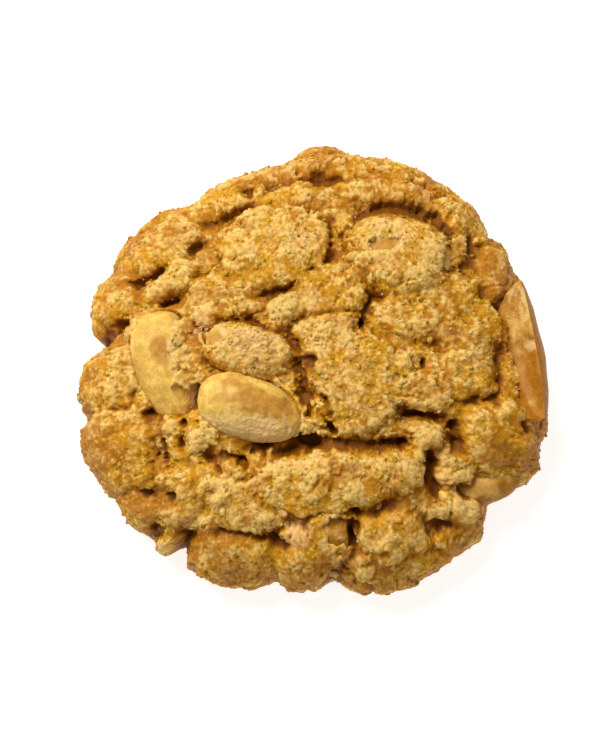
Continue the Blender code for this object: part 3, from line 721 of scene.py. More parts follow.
def move_to(builder, places):
    """Puts the vertices at places in millimetres."""
    for vertex, place in zip(builder.verts, places * MM):
        vertex.co = place


def mesh_from(name, builder):
    mesh = bpy.data.meshes.new(name)
    builder.to_mesh(mesh)
    builder.free()
    return mesh


def add_piece(name, builder, finish, slot, *nodes, **masks):
    """Makes a finished piece at the origin, riding on the cookie. Nodes are the solids it stands for."""
    mesh = mesh_from(name, builder)
    for label, values in masks.items():
        mask = mesh.attributes.new(label, "FLOAT", "POINT")
        mask.data.foreach_set("value", np.asarray(values, dtype=np.float32))
    mesh.shade_smooth()
    mesh.materials.append(finish)
    piece = bpy.data.objects.new(name, mesh)
    bpy.context.scene.collection.objects.link(piece)
    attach(piece, "root")
    if nodes:
        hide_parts(*nodes)
    return mesh


def feed(tree, socket, value):
    """Links a socket to another one, or gives it a constant."""
    if isinstance(value, bpy.types.NodeSocket):
        tree.links.new(value, socket)
    else:
        socket.default_value = value


def add_node(tree, kind, **values):
    """Adds a shader node and sets its properties and its inputs by name."""
    node = tree.nodes.new(kind)
    for key, value in values.items():
        if hasattr(node, key):
            setattr(node, key, value)
        else:
            feed(tree, node.inputs[key.replace("_", " ")], value)
    return node


def blend_colours(tree, share, first, second, mode="MIX"):
    """A Mix node for colours. Share, first and second are sockets or constants."""
    node = add_node(tree, "ShaderNodeMix", data_type="RGBA", blend_type=mode, clamp_factor=True)
    for number, value in ((0, share), (6, first), (7, second)):
        feed(tree, node.inputs[number], value)
    return node.outputs[2]


def shaded(tree, share, colour, dark, light):
    """A colour times dark where the share is 0 and times light where it is 1, for painted shade and painted
    highlight.
    """
    dark = blend_colours(tree, 1.0, colour, dark, "MULTIPLY")
    light = blend_colours(tree, 1.0, colour, light, "MULTIPLY")
    return blend_colours(tree, share, dark, light)


def calculate(tree, operation, *values):
    """A Math node on sockets or constants."""
    node = add_node(tree, "ShaderNodeMath", operation=operation)
    for socket, value in zip(node.inputs, values):
        feed(tree, socket, value)
    return node.outputs[0]


def weighed(tree, total, *layers):
    """A total with more values added, each times its weight."""
    for value, weight in layers:
        total = calculate(tree, "MULTIPLY_ADD", value, weight, total)
    return total


def between(tree, value, low, high, start=0.0, end=1.0):
    """A smooth ramp of a value from start, at low, to end, at high."""
    limits = {"From_Min": low, "From_Max": high, "To_Min": start, "To_Max": end}
    node = add_node(tree, "ShaderNodeMapRange", interpolation_type="SMOOTHSTEP", Value=value, **limits)
    return node.outputs["Result"]


def noise_field(tree, place, scale, detail, roughness):
    values = {"Vector": place, "Scale": scale, "Detail": detail, "Roughness": roughness}
    return add_node(tree, "ShaderNodeTexNoise", **values).outputs["Fac"]


def spots_field(tree, place, scale):
    """Cells round scattered spots: the distance to the nearest spot, and a random colour for each."""
    outputs = add_node(tree, "ShaderNodeTexVoronoi", Vector=place, Scale=scale).outputs
    return outputs["Distance"], outputs["Color"]


def new_group(name, colours, masks):
    """A finish group's inputs and outputs, with nothing yet between them, and the place on the piece."""
    group = bpy.data.node_groups.new(name, "ShaderNodeTree")
    sockets = [(label, "INPUT", "NodeSocketColor") for label in colours]
    sockets += [(label, "INPUT", "NodeSocketFloat") for label in masks]
    sockets.append(("Color", "OUTPUT", "NodeSocketColor"))
    sockets += [(label, "OUTPUT", "NodeSocketFloat") for label in ("Roughness", "Height")]
    for label, side, kind in sockets:
        group.interface.new_socket(label, in_out=side, socket_type=kind)
    given = group.nodes.new("NodeGroupInput").outputs
    result = group.nodes.new("NodeGroupOutput").inputs
    place = group.nodes.new("ShaderNodeTexCoord").outputs["Object"]
    return group, given, result, place


def crumb_group():
    """Baked crumb: mottled, grained, pored and browned, with painted shade in the hollows, in the pores and
    between grains, painted highlight on the grains, and the height that its bump follows.
    """
    colours = ("Crumb", "Pale", "Deep crumb and shade", "Toasted", "Pink crumb")
    masks = [label.capitalize() for label in MASKS]
    group, given, result, place = new_group("Baked crumb", colours, masks)
    broad = noise_field(group, place, 190, 3, 0.6)
    mottle = noise_field(group, place, 480, 4, 0.65)
    fine = noise_field(group, place, 1900, 4, 0.7)
    grain, _ = spots_field(group, place, 1500)
    pore, pore_chance = spots_field(group, place, 700)
    fleck, fleck_chance = spots_field(group, place, 1050)

    # Crumb to pale crumb by random tone and dryness, with painted shade: darker in the hollows and a little
    # paler on the grains' rises.
    tone_and_shade = weighed(group, mottle, (given["Dry"], 0.12), (given["Hollow"], -0.28), (fine, 0.35))
    tone_and_shade = weighed(group, tone_and_shade, (broad, 0.9), (grain, -0.15))
    colour = blend_colours(group, between(group, tone_and_shade, 0.92, 1.26), given["Crumb"], given["Pale"])
    pinkness = weighed(group, mottle, (given["Pink"], 0.5))
    colour = blend_colours(group, between(group, pinkness, 0.60, 0.95, 0, 0.85), colour, given["Pink crumb"])
    # Browning from the toast mask and random patches, with painted shade: browner in the hollows.
    browning_and_shade = weighed(group, broad, (given["Toast"], 0.18), (mottle, -0.9), (given["Hollow"], 0.26))
    colour = blend_colours(group, between(group, browning_and_shade, -0.03, 0.30, 0, 0.88), colour, given["Toasted"])
    near_fleck = between(group, fleck, 0.22, 0.48, 1, 0)
    flecked = calculate(group, "MULTIPLY", near_fleck, between(group, fleck_chance, 0.62, 0.70, 0, 0.45))
    colour = blend_colours(group, flecked, colour, given["Pink crumb"])
    # Painted shade between the grains and painted highlight on their tops, following the bump's height.
    grain_shade_and_highlight = between(group, weighed(group, fine, (grain, -0.45)), 0.08, 0.50)
    colour = shaded(group, grain_shade_and_highlight, colour, (0.88, 0.79, 0.62, 1), (1.13, 1.13, 1.14, 1))
    # Painted shade: the hollows go towards the deep colour.
    sunk = weighed(group, given["Hollow"], (fine, 0.6))
    colour = blend_colours(group, between(group, sunk, 0.42, 1.5, 0, 0.94), colour, given["Deep crumb and shade"])
    # Painted shade inside the small pores that the bump sinks.
    near_pore = between(group, pore, 0.07, 0.18, 1, 0)
    shaded_pore = calculate(group, "MULTIPLY", near_pore, between(group, pore_chance, 0.66, 0.72))
    colour = blend_colours(group, calculate(group, "MULTIPLY", shaded_pore, 0.5), colour, given["Deep crumb and shade"])

    feed(group, result["Color"], colour)
    feed(group, result["Roughness"], between(group, browning_and_shade, 0.05, 0.4, 0.70, 0.45))
    feed(group, result["Height"], weighed(group, fine, (grain, -0.6), (fleck, -0.8), (shaded_pore, -1.0)))
    return group


def kernel_group():
    """Roasted kernel flesh: soft mottling, browner patches, sugary flour baked on, and shallow dimples, with
    painted shade in the dimples and painted highlight on the rises between them.
    """
    colours = ("Skin", "Blush", "Dust")
    group, given, result, place = new_group("Roasted kernel", colours, ("Blushed", "Dusted"))
    broad = noise_field(group, place, 260, 3, 0.55)
    dimples = noise_field(group, place, 800, 3, 0.6)
    fine = noise_field(group, place, 2600, 3, 0.6)
    grain, _ = spots_field(group, place, 2100)

    shade = weighed(group, broad, (given["Blushed"], 0.62), (dimples, 0.5))
    colour = blend_colours(group, between(group, shade, 0.70, 1.10), given["Skin"], given["Blush"])
    # Painted shade in the dimples and painted highlight on the rises, following the bump's height.
    mottle = between(group, weighed(group, dimples, (fine, 0.5)), 0.62, 0.90)
    colour = shaded(group, mottle, colour, (0.86, 0.79, 0.62, 1), (1.10, 1.10, 1.12, 1))
    flour = weighed(group, dimples, (given["Dusted"], 0.9), (grain, -0.35))
    colour = blend_colours(group, between(group, flour, 0.55, 1.15, 0, 0.9), colour, given["Dust"])
    crust = calculate(group, "MULTIPLY", grain, given["Dusted"])

    feed(group, result["Color"], colour)
    feed(group, result["Roughness"], between(group, flour, 0.4, 1.1, 0.5, 0.8))
    feed(group, result["Height"], weighed(group, dimples, (fine, 0.35), (crust, -1.1)))
    return group


def place_group(tree, name, maker, **values):
    """Puts a shared group in a material, made the first time, and sets its inputs."""
    group = bpy.data.node_groups.get(name) or maker()
    return add_node(tree, "ShaderNodeGroup", node_tree=group, **values)


def mask_reader(tree, name):
    return add_node(tree, "ShaderNodeAttribute", attribute_name=name).outputs["Fac"]


def new_material(name, **values):
    """A material and its Principled shader, with the shader's inputs set by name."""
    made = bpy.data.materials.new(name)
    made.use_nodes = True
    shader = made.node_tree.nodes["Principled BSDF"]
    for label, value in values.items():
        shader.inputs[label.replace("_", " ")].default_value = value
    return made, shader


def wear(tree, shader, finish, bump_depth, bump_strength):
    """Feeds a finish group's outputs to a shader, its height by way of a bump."""
    bump = add_node(tree, "ShaderNodeBump", Strength=bump_strength, Distance=bump_depth)
    feed(tree, bump.inputs["Height"], finish.outputs["Height"])
    feed(tree, shader.inputs["Base Color"], finish.outputs["Color"])
    feed(tree, shader.inputs["Roughness"], finish.outputs["Roughness"])
    feed(tree, shader.inputs["Normal"], bump.outputs["Normal"])


def dough_material(look):
    made, shader = new_material(
        "dough_crust", Specular_IOR_Level=CRUST_SPECULAR, Subsurface_Weight=0.5, **SUBSURFACE
    )
    tree = made.node_tree
    masks = {label.capitalize(): mask_reader(tree, label) for label in MASKS}
    colours = {"Crumb": look.crumb, "Pale": look.pale, "Deep crumb and shade": look.deep}
    colours.update({"Toasted": look.toasted, "Pink crumb": look.pink})
    crumb = place_group(tree, "Baked crumb", crumb_group, **colours, **masks)
    wear(tree, shader, crumb, *CRUST_BUMP)
    return made


def kernel_material(name, skin, blush, dust):
    """Kernel flesh, browner where the blush mask says and floury where the dust mask says."""
    made, shader = new_material(name, Specular_IOR_Level=SPECULAR, Subsurface_Weight=0.3, **SUBSURFACE)
    tree = made.node_tree
    masks = {"Blushed": mask_reader(tree, "blush"), "Dusted": mask_reader(tree, "dust")}
    flesh = place_group(tree, "Roasted kernel", kernel_group, Skin=skin, Blush=blush, Dust=dust, **masks)
    wear(tree, shader, flesh, *KERNEL_BUMP)
    return made


def dome_points(square):
    """The smooth envelope for points of a square: share of the way to the base edge, places and normals."""
    share, angle = square_to_disc(square)
    share = share * (1 - RIM_COARSENING) + RIM_COARSENING * share**3
    reach_line, height_line, length = dome_profile()
    along = share * length[-1]
    ahead = np.minimum(along + SLOPE_STEP, length[-1])
    back = np.maximum(along - SLOPE_STEP, 0)
    out = np.interp(back, length, height_line) - np.interp(ahead, length, height_line)
    up = np.interp(ahead, length, reach_line) - np.interp(back, length, reach_line)
    run = np.hypot(out, up)
    reach = np.interp(along, length, reach_line) * rim_reach(angle) / REFERENCE_REACH
    height = np.interp(along, length, height_line)
    dome = np.column_stack((np.cos(angle) * reach, np.sin(angle) * reach, height))
    return share, dome, np.column_stack((np.cos(angle) * out / run, np.sin(angle) * out / run, up / run))


def crust_texture(look, dome, calm, dry, rim):
    """The relief finer than the clods: lumps, lobes, crags, crumbs, pits and creases."""
    rough = calm * np.clip(0.9 + 0.7 * wander(dome, 6.0, 5.0) + 0.3 * dry + 0.1 * rim, 0.25, 1.5)
    lumpy = calm * (0.4 + 0.6 * eased(wander(dome, 7.0, 7.0) + 0.2 * dry, -0.3, 0.5))
    bent = dome + 0.9 * np.column_stack([wander(dome, 2.4, seed) for seed in (51.0, 53.0, 57.0)])
    texture = look.lumps * layered(wander, dome, LUMPS)
    texture += look.lobes * lumpy * (layered(lobes, bent, LOBES) - LOBES_MIDDLE)
    texture += rough * look.crags * crags(dome, 41.0)
    packed_crumbs = 0.8 * crumb_bumps(bent, 1.5, 3.0) + 0.8 * crumb_bumps(dome, 0.85, 8.0)
    texture += rough * look.crumbs * (packed_crumbs - 0.5)
    texture -= look.pits * rough * pits(dome, 23.0)
    texture -= 0.35 * creases(dome, 5.0, 29.0) + 0.30 * creases(bent, 2.8, 37.0)
    return texture


def dough_surface(square, look):
    """The crust for points of a square: places in millimetres, relief above the dome, and colour masks."""
    share, dome, normal = dome_points(square)
    plan = dome * (1, 1, 0)
    toast, dry, pink = patch_masks(plan)
    # Toward the rim the crust browns: partly real toasting, partly painted shade on the flank that slopes
    # away from the light.
    rim = eased(share + 0.05 * wander(dome, 5.0, 33.0), *BROWNED_AND_SHADED_RIM)
    toast = toast + RIM_TOAST_AND_SHADE * rim * np.clip(0.9 + 1.3 * wander(dome, 4.0, 35.0), 0, 1.6)
    dry = dry - 0.3 * rim
    calm = 1 - 0.1 * eased(share, *CALM_FLANK)
    texture = crust_texture(look, dome, calm, dry, rim)
    depth = crack_depths(plan)
    relief = clod_heights(plan, look.valley) + oat_rises(plan) + texture - depth
    kept = 1 - eased(share, *RELIEF_FADE)
    place = dome + normal * (relief * kept)[:, None]
    place[:, 2] = seated_heights(place, texture, look.coat)
    raised = ((place - dome) * normal).sum(axis=1)
    sunk = np.maximum(0, -raised) * kept * np.clip(normal[:, 2], 0, 1)
    place[:, 1] += look.overhang * np.minimum(sunk, DEEPEST_OVERHANG)
    place[:, 2] = np.maximum(place[:, 2], 0.0)
    # Painted shade along the cracks and their banks, by how deep they are.
    crack_shade = kept * np.clip(depth / CRACK_SHADE_DEPTH, 0, 1)
    return place, raised, toast, dry, pink, crack_shade


def oat_rises(plan):
    """How far the rolled oats in the crust lift it, with the groove along each."""
    rise = np.zeros(len(plan))
    for x, y, degrees in OATS:
        along, across = turned(plan, x, y, degrees)
        along = along / (OAT_LENGTH / 2)
        across = across / (OAT_WIDTH / 2)
        flake = 1 - eased(np.hypot(along, across), *OAT_EDGE)
        groove = (1 - eased(np.abs(across), 0.0, 0.22)) * (1 - eased(np.abs(along), 0.6, 0.9))
        rise = np.maximum(rise, OAT_RISE * flake - OAT_GROOVE * groove)
    return rise


def build_dough(look, finish):
    """A fine sheet over the dome, its crags and crumb worked in, closed by a browned base."""
    builder = bmesh.new()
    cells = look.cells
    bmesh.ops.create_grid(builder, x_segments=cells, y_segments=cells, size=1.0)
    square = places_of(builder.verts)
    place, raised, toast, dry, pink, crack_shade = dough_surface(square, look)
    move_to(builder, place - PLAN_MIDDLE)
    column, row = np.rint((square[:, :2].T + 1) / 2 * cells).astype(int)
    field = np.zeros((cells + 1, cells + 1))
    field[column, row] = raised
    # How sunk each place is sets the painted shade in the hollows, and the crack banks add more painted
    # shade.
    sunk = sum(weight * ((blurred(field, reach) - field) / depth) for reach, depth, weight in HOLLOW_SHADE_SCALES)
    hollow = sunk[column, row] + CRACK_SHADE_SHARE * crack_shade
    ring = [side for side in builder.edges if side.is_boundary]
    for side in ring:
        for vertex in side.verts:
            vertex.co.z = 0.0
    close_inward(builder, ring, BASE_RINGS)
    base = np.zeros(len(builder.verts) - len(square))
    masks = {"hollow": hollow, "toast": toast, "dry": dry, "pink": pink}
    ends = {"hollow": base, "toast": base + BASE_TOAST, "dry": base, "pink": base}
    masks = {label: np.append(values, ends[label]) for label, values in masks.items()}
    add_piece("dough_crust", builder, finish, "dough", "dough", **masks)


def close_inward(builder, ring, shares, middle=(0, 0, 0)):
    """Closes a ring of edges by smaller rings that draw in towards a middle."""
    space = Matrix.Translation(-Vector(middle))
    for share in shares:
        made = bmesh.ops.extrude_edge_only(builder, edges=ring)["geom"]
        ring = [part for part in made if isinstance(part, bmesh.types.BMEdge) and part.is_boundary]
        verts = [part for part in made if isinstance(part, bmesh.types.BMVert)]
        bmesh.ops.scale(builder, vec=(share, share, share), space=space, verts=verts)
    bmesh.ops.contextual_create(builder, geom=ring)
    bmesh.ops.recalc_face_normals(builder, faces=builder.faces)


class COOKIE_OT_dough(bpy.types.Operator):
    """Bake the dough: its crags, cracks and crumb"""

    bl_idname = "cookie.dough"
    bl_label = "Dough"

    def execute(self, context):
        look = context.scene.cookie_dough
        build_dough(look, dough_material(look))
        return {"FINISHED"}


def shaped_kernel(kernel, directions, fullness):
    """Points of an egg-shaped kernel, in millimetres, for directions from its middle."""
    along = directions[:, 0]
    round_reach = np.sqrt(np.clip(1 - along * along, 0, 1))
    swell = np.where(round_reach > 1e-4, kernel_swell(along, fullness) / np.maximum(round_reach, 1e-4), 1)
    shape = directions * np.array((kernel.length, kernel.width, kernel.thickness)) / 2
    shape[:, 1:] *= swell[:, None]
    return shape


def placed(kernel, shape):
    """A kernel's own points in the cookie, in millimetres from the middle of its plan."""
    matrix = np.array(kernel_matrix(kernel))
    return shape @ matrix[:3, :3].T + matrix[:3, 3] / MM


def build_kernel(name, finish, slot, masks):
    """A whole or broken kernel, dented and veined. Masks says how brown and how floury each place is."""
    kernel = KERNELS[name]
    builder = new_ball(*BREAKS.get(name, ()))
    directions = places_of(builder.verts)
    shape = shaped_kernel(kernel, directions, WHOLE_FULLNESS)
    half = np.array((kernel.length, kernel.width, kernel.thickness)) / 2
    away = shape / (half * half)
    away /= np.linalg.norm(away, axis=1)[:, None]
    world = placed(kernel, shape) + PLAN_MIDDLE
    browned, floury = np.clip(masks(world, shape / half), 0, 1)
    stretched = shape * (0.35, 1, 1)
    dents = 0.22 * wander(world, 4.0, 61.0) + 0.12 * wander(world, 1.7, 67.0)
    dents += 0.05 * wander(world, 0.8, 69.0) - 0.12 * creases(stretched, 1.6, 71.0)
    dents += (0.04 + 0.05 * floury) * crags(world, 73.0) + 0.14 * floury * crumb_bumps(world, 0.9, 75.0)
    shape = shape + away * dents[:, None]
    move_to(builder, placed(kernel, shape))
    add_piece(name + "_kernel", builder, finish, slot, name, blush=browned, dust=floury)


def new_ball(*cut):
    """A fine ball, cut flat and closed again where a place and an outward direction are given."""
    builder = bmesh.new()
    bmesh.ops.create_icosphere(builder, subdivisions=KERNEL_FINENESS, radius=1.0)
    if cut:
        place, normal = cut
        everything = list(builder.verts) + list(builder.edges) + list(builder.faces)
        made = bmesh.ops.bisect_plane(
            builder, geom=everything, dist=1e-5, plane_co=place, plane_no=normal, clear_outer=True
        )
        ring = [part for part in made["geom_cut"] if isinstance(part, bmesh.types.BMEdge)]
        close_inward(builder, ring, FACE_RINGS, place)
    return builder


def front_masks(world, unit):
    """The kernel on top: browned along its upper middle, floury at its lower right."""
    blush = 1 - np.hypot((unit[:, 0] - 0.12) / 0.95, (unit[:, 1] - 0.28) / 0.55)
    dust = 0.5 - 1.3 * unit[:, 1] + 0.45 * unit[:, 0] + 0.5 * wander(world, 2.0, 87.0)
    return 1.5 * blush + 0.8 * wander(world, 1.7, 83.0), dust - 0.35


def left_masks(world, unit):
    """The left kernel: one browned spot, and flour where the crumb comes over it."""
    spot = 1 - np.hypot(world[:, 0] + 22.2, world[:, 1] - 1.4) / 2.8
    dust = world[:, 0] + 23.2 + 1.2 * wander(world, 1.8, 81.0) - 0.5 * np.abs(world[:, 1] - 1.0)
    return 1.4 * spot + 0.45 * wander(world, 2.6, 85.0), 0.6 * dust


def crusted_masks(world, unit):
    """A kernel under crumb, browned and floury in soft random patches."""
    return 0.5 + 0.5 * wander(world, 2.2, 105.0), 0.35 + 0.6 * wander(world, 1.8, 108.0)


def rim_masks(world, unit):
    return 0.45 + 0.8 * wander(world, 2.6, 109.0), 0.2 + 0.5 * wander(world, 1.6, 112.0)


def build_half_kernel(finish):
    """The half kernel on edge in the rim: a flat inner face with a chipped step, and a round back."""
    kernel = KERNELS["peanut_right"]
    builder = new_ball((0, 0, 0), (0, 0, -1))
    directions = places_of(builder.verts)
    flat = directions[:, 2] < 1e-4
    along, across = directions[:, 0], directions[:, 1]
    inner = np.hypot(along, across)
    shape = shaped_kernel(kernel._replace(thickness=2 * kernel.thickness), directions, HALF_FULLNESS)
    shape[:, 1] += HALF_STRAIGHTNESS * (1 - kernel_swell(along, HALF_FULLNESS)) * kernel.width / 2
    world = placed(kernel, shape) + PLAN_MIDDLE
    dish = 1 - eased(inner, 0.4, 0.98)
    step_line = along - 0.24 + 0.28 * (across - 0.5) + 0.05 * wander(world, 1.6, 114.0)
    chip = (1 - eased(step_line, -0.03, 0.02)) * eased(across, 0.05, 0.30) * (1 - eased(inner, 0.94, 0.995))
    shape[:, 2] += np.where(flat, 0.45 * dish + 0.55 * chip, 0)
    back = shape / np.maximum(np.linalg.norm(shape, axis=1), 1)[:, None]
    away = np.where(flat[:, None], (0.0, 0.0, -1.0), back)
    streaks = 0.10 * wander(shape * (0.3, 1, 1), 1.3, 115.0)
    dents = 0.14 * wander(world, 3.0, 113.0) + 0.06 * crags(world, 117.0) + streaks
    shape = shape + away * dents[:, None]
    move_to(builder, placed(kernel, shape))
    # Flat face: browner low left, floury high right, where the flour is partly a painted highlight on the
    # lit upper face. The round back is browned all over: partly toasting, partly painted shade on the side
    # turned away from the light.
    low_left = 0.42 - 0.55 * across - 0.35 * along + 0.7 * wander(world, 2.4, 119.0)
    high_right = 0.15 + 0.45 * along + 0.2 * across + 0.7 * wander(world, 1.9, 121.0)
    browned = np.clip(np.where(flat, low_left + 0.3 * chip, 1.1 + 3.0 * streaks), 0, 1)
    floury = np.clip(np.where(flat, high_right, 0), 0, 1)
    masks = {"blush": browned, "dust": floury}
    mesh = add_piece("peanut_right_kernel", builder, finish, "toasted_peanut", "peanut_right", **masks)
    mesh.set_sharp_from_angle(angle=math.radians(50))


class COOKIE_OT_kernels(bpy.types.Operator):
    """Set the peanut kernels into the crust"""

    bl_idname = "cookie.kernels"
    bl_label = "Peanut kernels"

    def execute(self, context):
        look = context.scene.cookie_kernel
        pale = kernel_material("pale_kernel", look.skin, look.blush, look.dust)
        brown = kernel_material("toasted_kernel", look.tan, look.toasted, look.dust)
        build_kernel("peanut_front", pale, "peanut", front_masks)
        build_kernel("peanut_left", pale, "peanut", left_masks)
        build_kernel("peanut_crumbed", pale, "crumbed_peanut", crusted_masks)
        build_kernel("peanut_top", pale, "crumbed_peanut", crusted_masks)
        build_kernel("peanut_side", brown, "toasted_peanut", rim_masks)
        build_kernel("peanut_chunk", brown, "toasted_peanut", rim_masks)
        build_half_kernel(brown)
        return {"FINISHED"}


def build_chips(finish):
    """Small broken bits of peanut, half sunk in the crust, joined as one mesh."""
    crust = bpy.data.objects["dough_crust"]
    chance = random.Random(21)
    builder = bmesh.new()
    for x, y, length, width, degrees in CHIPS:
        above = Vector((x - PLAN_MIDDLE[0], y - PLAN_MIDDLE[1], 3 * CROWN_HEIGHT)) * MM
        found, place, normal, _ = crust.ray_cast(above, (0, 0, -1))
        if not found:
            raise RuntimeError("A chip of peanut lies off the crust")
        turn = (normal + Vector((0, 0, 2))).normalized().to_track_quat("Z", "Y").to_matrix().to_4x4()
        turn = turn @ Matrix.Rotation(math.radians(degrees), 4, "Z")
        size = Matrix.Diagonal((length / 2 * MM, width / 2 * MM, width / 2 * CHIP_FLATNESS * MM, 1))
        matrix = Matrix.Translation(place - normal * CHIP_SINK * width * MM) @ turn @ size
        made = bmesh.ops.create_icosphere(builder, subdivisions=4, radius=1.0, matrix=matrix)["verts"]
        for _ in range(CHIP_FACETS):
            facing = Vector((chance.uniform(-1, 1), chance.uniform(-1, 1), chance.uniform(-0.2, 0.9)))
            facing = turn.to_3x3() @ facing.normalized()
            limit = chance.uniform(0.55, 0.85) * max((vertex.co - place).dot(facing) for vertex in made)
            for vertex in made:
                past = (vertex.co - place).dot(facing) - limit
                if past > 0:
                    vertex.co -= 0.85 * past * facing
    builder.normal_update()
    places = places_of(builder.verts) / MM
    shift = 0.07 * wander(places, 0.7, 123.0) + 0.10 * wander(places, 1.5, 125.0)
    for vertex, amount in zip(builder.verts, shift):
        vertex.co += vertex.normal * float(amount) * MM
    browned = np.clip(0.1 + 0.6 * wander(places, 2.0, 127.0), 0, 1)
    floury = np.clip(0.15 + 0.8 * wander(places, 1.3, 129.0), 0, 1)
    add_piece("peanut_chips", builder, finish, "peanut", blush=browned, dust=floury)


class COOKIE_OT_chips(bpy.types.Operator):
    """Press small chips of peanut into the crust"""

    bl_idname = "cookie.chips"
    bl_label = "Peanut chips"

    def execute(self, context):
        build_chips(bpy.data.materials["pale_kernel"])
        return {"FINISHED"}


def crust_mask(name):
    """The values of one of the crust's masks."""
    mask = bpy.data.objects["dough_crust"].data.attributes[name].data
    values = np.zeros(len(mask), dtype=np.float32)
    mask.foreach_get("value", values)
    return values


def crust_points(seed, count, lowest, weight_dry):
    """Random places on the crust that face up or out, with their outward directions."""
    mesh = bpy.data.objects["dough_crust"].data
    chance = random.Random(seed)
    dry = crust_mask("dry")
    hollow = crust_mask("hollow")
    found = []
    while len(found) < count:
        index = chance.randrange(len(mesh.vertices))
        vertex = mesh.vertices[index]
        if vertex.co.z < lowest * MM or vertex.normal.z < -0.1 or hollow[index] > 0.9:
            continue
        steep = 1 - vertex.normal.z
        if chance.random() > 0.2 + weight_dry * float(dry[index]) + 0.4 * steep:
            continue
        found.append((vertex.co.copy(), vertex.normal.copy(), index))
    return found, chance


def scatter_crumbs(name, seed, count, sizes, fineness, finish, weight_dry, sink):
    """Irregular crumbs baked onto the crust, joined as one mesh."""
    found, chance = crust_points(seed, count, 2.0, weight_dry)
    builder = bmesh.new()
    for place, normal, _ in found:
        size = chance.uniform(*sizes) * MM / 2
        stretch = Vector((chance.uniform(0.7, 1.3), chance.uniform(0.7, 1.2), chance.uniform(0.6, 1.0)))
        stretch *= size
        turn = normal.to_track_quat("Z", "Y").to_matrix().to_4x4()
        turn = turn @ Matrix.Rotation(chance.uniform(0, math.tau), 4, "Z")
        matrix = Matrix.Translation(place + normal * size * sink) @ turn @ Matrix.Diagonal((*stretch, 1))
        made = bmesh.ops.create_icosphere(builder, subdivisions=fineness, radius=1.0, matrix=matrix)
        for vertex in made["verts"]:
            away = vertex.co - place
            vertex.co += away * 0.9 * noise.noise(vertex.co * 1700)
    beneath = [index for _, _, index in found]
    each = len(builder.verts) // count
    masks = {label: np.repeat(crust_mask(label)[beneath], each) for label in MASKS}
    # The crumbs carry half of the painted shade of the crust beneath them.
    masks["hollow"] *= 0.5
    add_piece(name, builder, finish, "dough", **masks)


class COOKIE_OT_crumbs(bpy.types.Operator):
    """Scatter loose and half-baked crumbs over the crust"""

    bl_idname = "cookie.crumbs"
    bl_label = "Crumbs"

    def execute(self, context):
        look = context.scene.cookie_scatter
        finish = bpy.data.materials["dough_crust"]
        scatter_crumbs("fine_crumbs", 11, look.crumbs, FINE_CRUMB_SIZES, 1, finish, 0.5, 0.0)
        scatter_crumbs("coarse_crumbs", 12, look.clods, COARSE_CRUMB_SIZES, 2, finish, 0.3, -0.25)
        return {"FINISHED"}


def sugar_material():
    made, _ = new_material(
        "sugar_grain", Base_Color=SUGAR_COLOUR, Roughness=0.22, Specular_IOR_Level=SPECULAR,
        Subsurface_Weight=0.3, **SUBSURFACE,
    )
    return made


class COOKIE_OT_sugar(bpy.types.Operator):
    """Scatter small glinting sugar grains over the crust"""

    bl_idname = "cookie.sugar"
    bl_label = "Sugar grains"

    def execute(self, context):
        look = context.scene.cookie_scatter
        found, chance = crust_points(13, look.sugar, 5.0, 0.5)
        builder = bmesh.new()
        for place, normal, _ in found:
            size = chance.uniform(*SUGAR_SIZES) * MM
            axis = Vector((chance.random(), chance.random(), 1))
            turn = Matrix.Rotation(chance.uniform(0, math.tau), 4, axis)
            stretch = Vector((1, chance.uniform(0.6, 1.2), chance.uniform(0.6, 1))) * size
            matrix = Matrix.Translation(place + normal * size * 0.2) @ turn @ Matrix.Diagonal((*stretch, 1))
            bmesh.ops.create_cube(builder, size=1.0, matrix=matrix)
        edges = builder.edges[:]
        bmesh.ops.bevel(builder, geom=edges, offset=SUGAR_BEVEL, segments=1, profile=0.5, affect="EDGES")
        mesh = add_piece("sugar_grains", builder, sugar_material(), "dough")
        mesh.set_sharp_from_angle(angle=math.radians(30))
        return {"FINISHED"}


def floor_material():
    made, _ = new_material(
        "pale_floor", Base_Color=FLOOR_COLOUR, Roughness=0.9, Specular_IOR_Level=SPECULAR,
        Emission_Color=(1, 1, 1, 1), Emission_Strength=FLOOR_GLOW,
    )
    return made


def add_area_light(name, place, size, power, colour):
    light = bpy.data.lights.new(name, "AREA")
    light.shape = "DISK"
    light.size = size
    light.energy = power
    light.color = colour
    lamp = bpy.data.objects.new(name, light)
    lamp.location = place
    lamp.rotation_euler = (Vector(place) - Vector(LIGHT_AIM)).to_track_quat("Z", "Y").to_euler()
    bpy.context.scene.collection.objects.link(lamp)


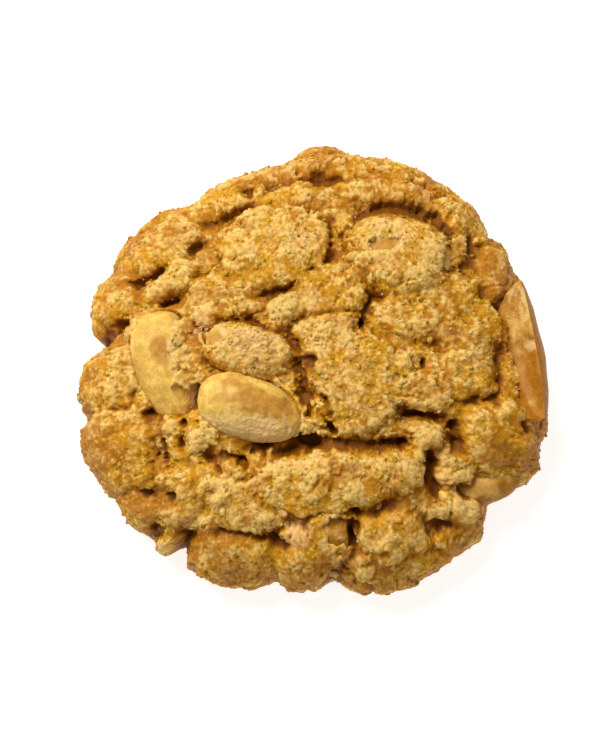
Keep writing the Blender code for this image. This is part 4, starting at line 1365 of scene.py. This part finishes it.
class COOKIE_OT_stage(bpy.types.Operator):
    """Lay the pale floor, hang the soft lights and set the camera over the cookie"""

    bl_idname = "cookie.stage"
    bl_label = "Stage"

    def execute(self, context):
        look = context.scene.cookie_stage
        builder = bmesh.new()
        bmesh.ops.create_grid(builder, x_segments=1, y_segments=1, size=FLOOR_SIZE)
        mesh = mesh_from("floor", builder)
        mesh.materials.append(floor_material())
        floor = bpy.data.objects.new("floor", mesh)
        floor.location.z = -FLOOR_DROP
        context.scene.collection.objects.link(floor)

        add_area_light("key_light", *KEY_LIGHT)
        add_area_light("fill_light", *FILL_LIGHT)
        world = bpy.data.worlds.new("studio")
        world.use_nodes = True
        sky = world.node_tree.nodes["Background"]
        sky.inputs["Color"].default_value = SKY_COLOUR
        sky.inputs["Strength"].default_value = SKY_STRENGTH
        context.scene.world = world
        context.scene.view_settings.view_transform = "Standard"

        target = Vector((AIM - PLAN_MIDDLE) * MM)
        away = Vector((0, -math.cos(look.elevation), math.sin(look.elevation)))
        lens = bpy.data.cameras.new("camera")
        lens.lens = look.lens
        camera = bpy.data.objects.new("camera", lens)
        camera.location = target + away * look.distance
        camera.rotation_euler = away.to_track_quat("Z", "Y").to_euler()
        context.scene.collection.objects.link(camera)
        context.scene.camera = camera
        return {"FINISHED"}


STEPS = ("dough", "kernels", "chips", "crumbs", "sugar", "stage")


class COOKIE_PT_panel(bpy.types.Panel):
    """The cookie's making, step by step"""

    bl_label = "Peanut Oatmeal Cookie"
    bl_idname = "COOKIE_PT_panel"
    bl_space_type = "VIEW_3D"
    bl_region_type = "UI"
    bl_category = "Cookie"

    def draw(self, context):
        for group in GROUPS:
            look = getattr(context.scene, group)
            box = self.layout.box()
            for name in look.bl_rna.properties.keys():
                if name not in ("rna_type", "name"):
                    box.prop(look, name)
        for step in STEPS:
            self.layout.operator("cookie." + step)


GROUPS = {
    "cookie_dough": DoughLook,
    "cookie_kernel": KernelLook,
    "cookie_scatter": ScatterLook,
    "cookie_stage": StageLook,
}
CLASSES = (
    *GROUPS.values(), COOKIE_OT_dough, COOKIE_OT_kernels, COOKIE_OT_chips, COOKIE_OT_crumbs, COOKIE_OT_sugar,
    COOKIE_OT_stage, COOKIE_PT_panel,
)


def register():
    for made in CLASSES:
        bpy.utils.register_class(made)
    for name, group in GROUPS.items():
        setattr(bpy.types.Scene, name, PointerProperty(type=group))


def unregister():
    for name in GROUPS:
        delattr(bpy.types.Scene, name)
    for made in reversed(CLASSES):
        bpy.utils.unregister_class(made)


def main():
    register()
    for step in STEPS:
        getattr(bpy.ops.cookie, step)()


if __name__ == "__main__":
    main()
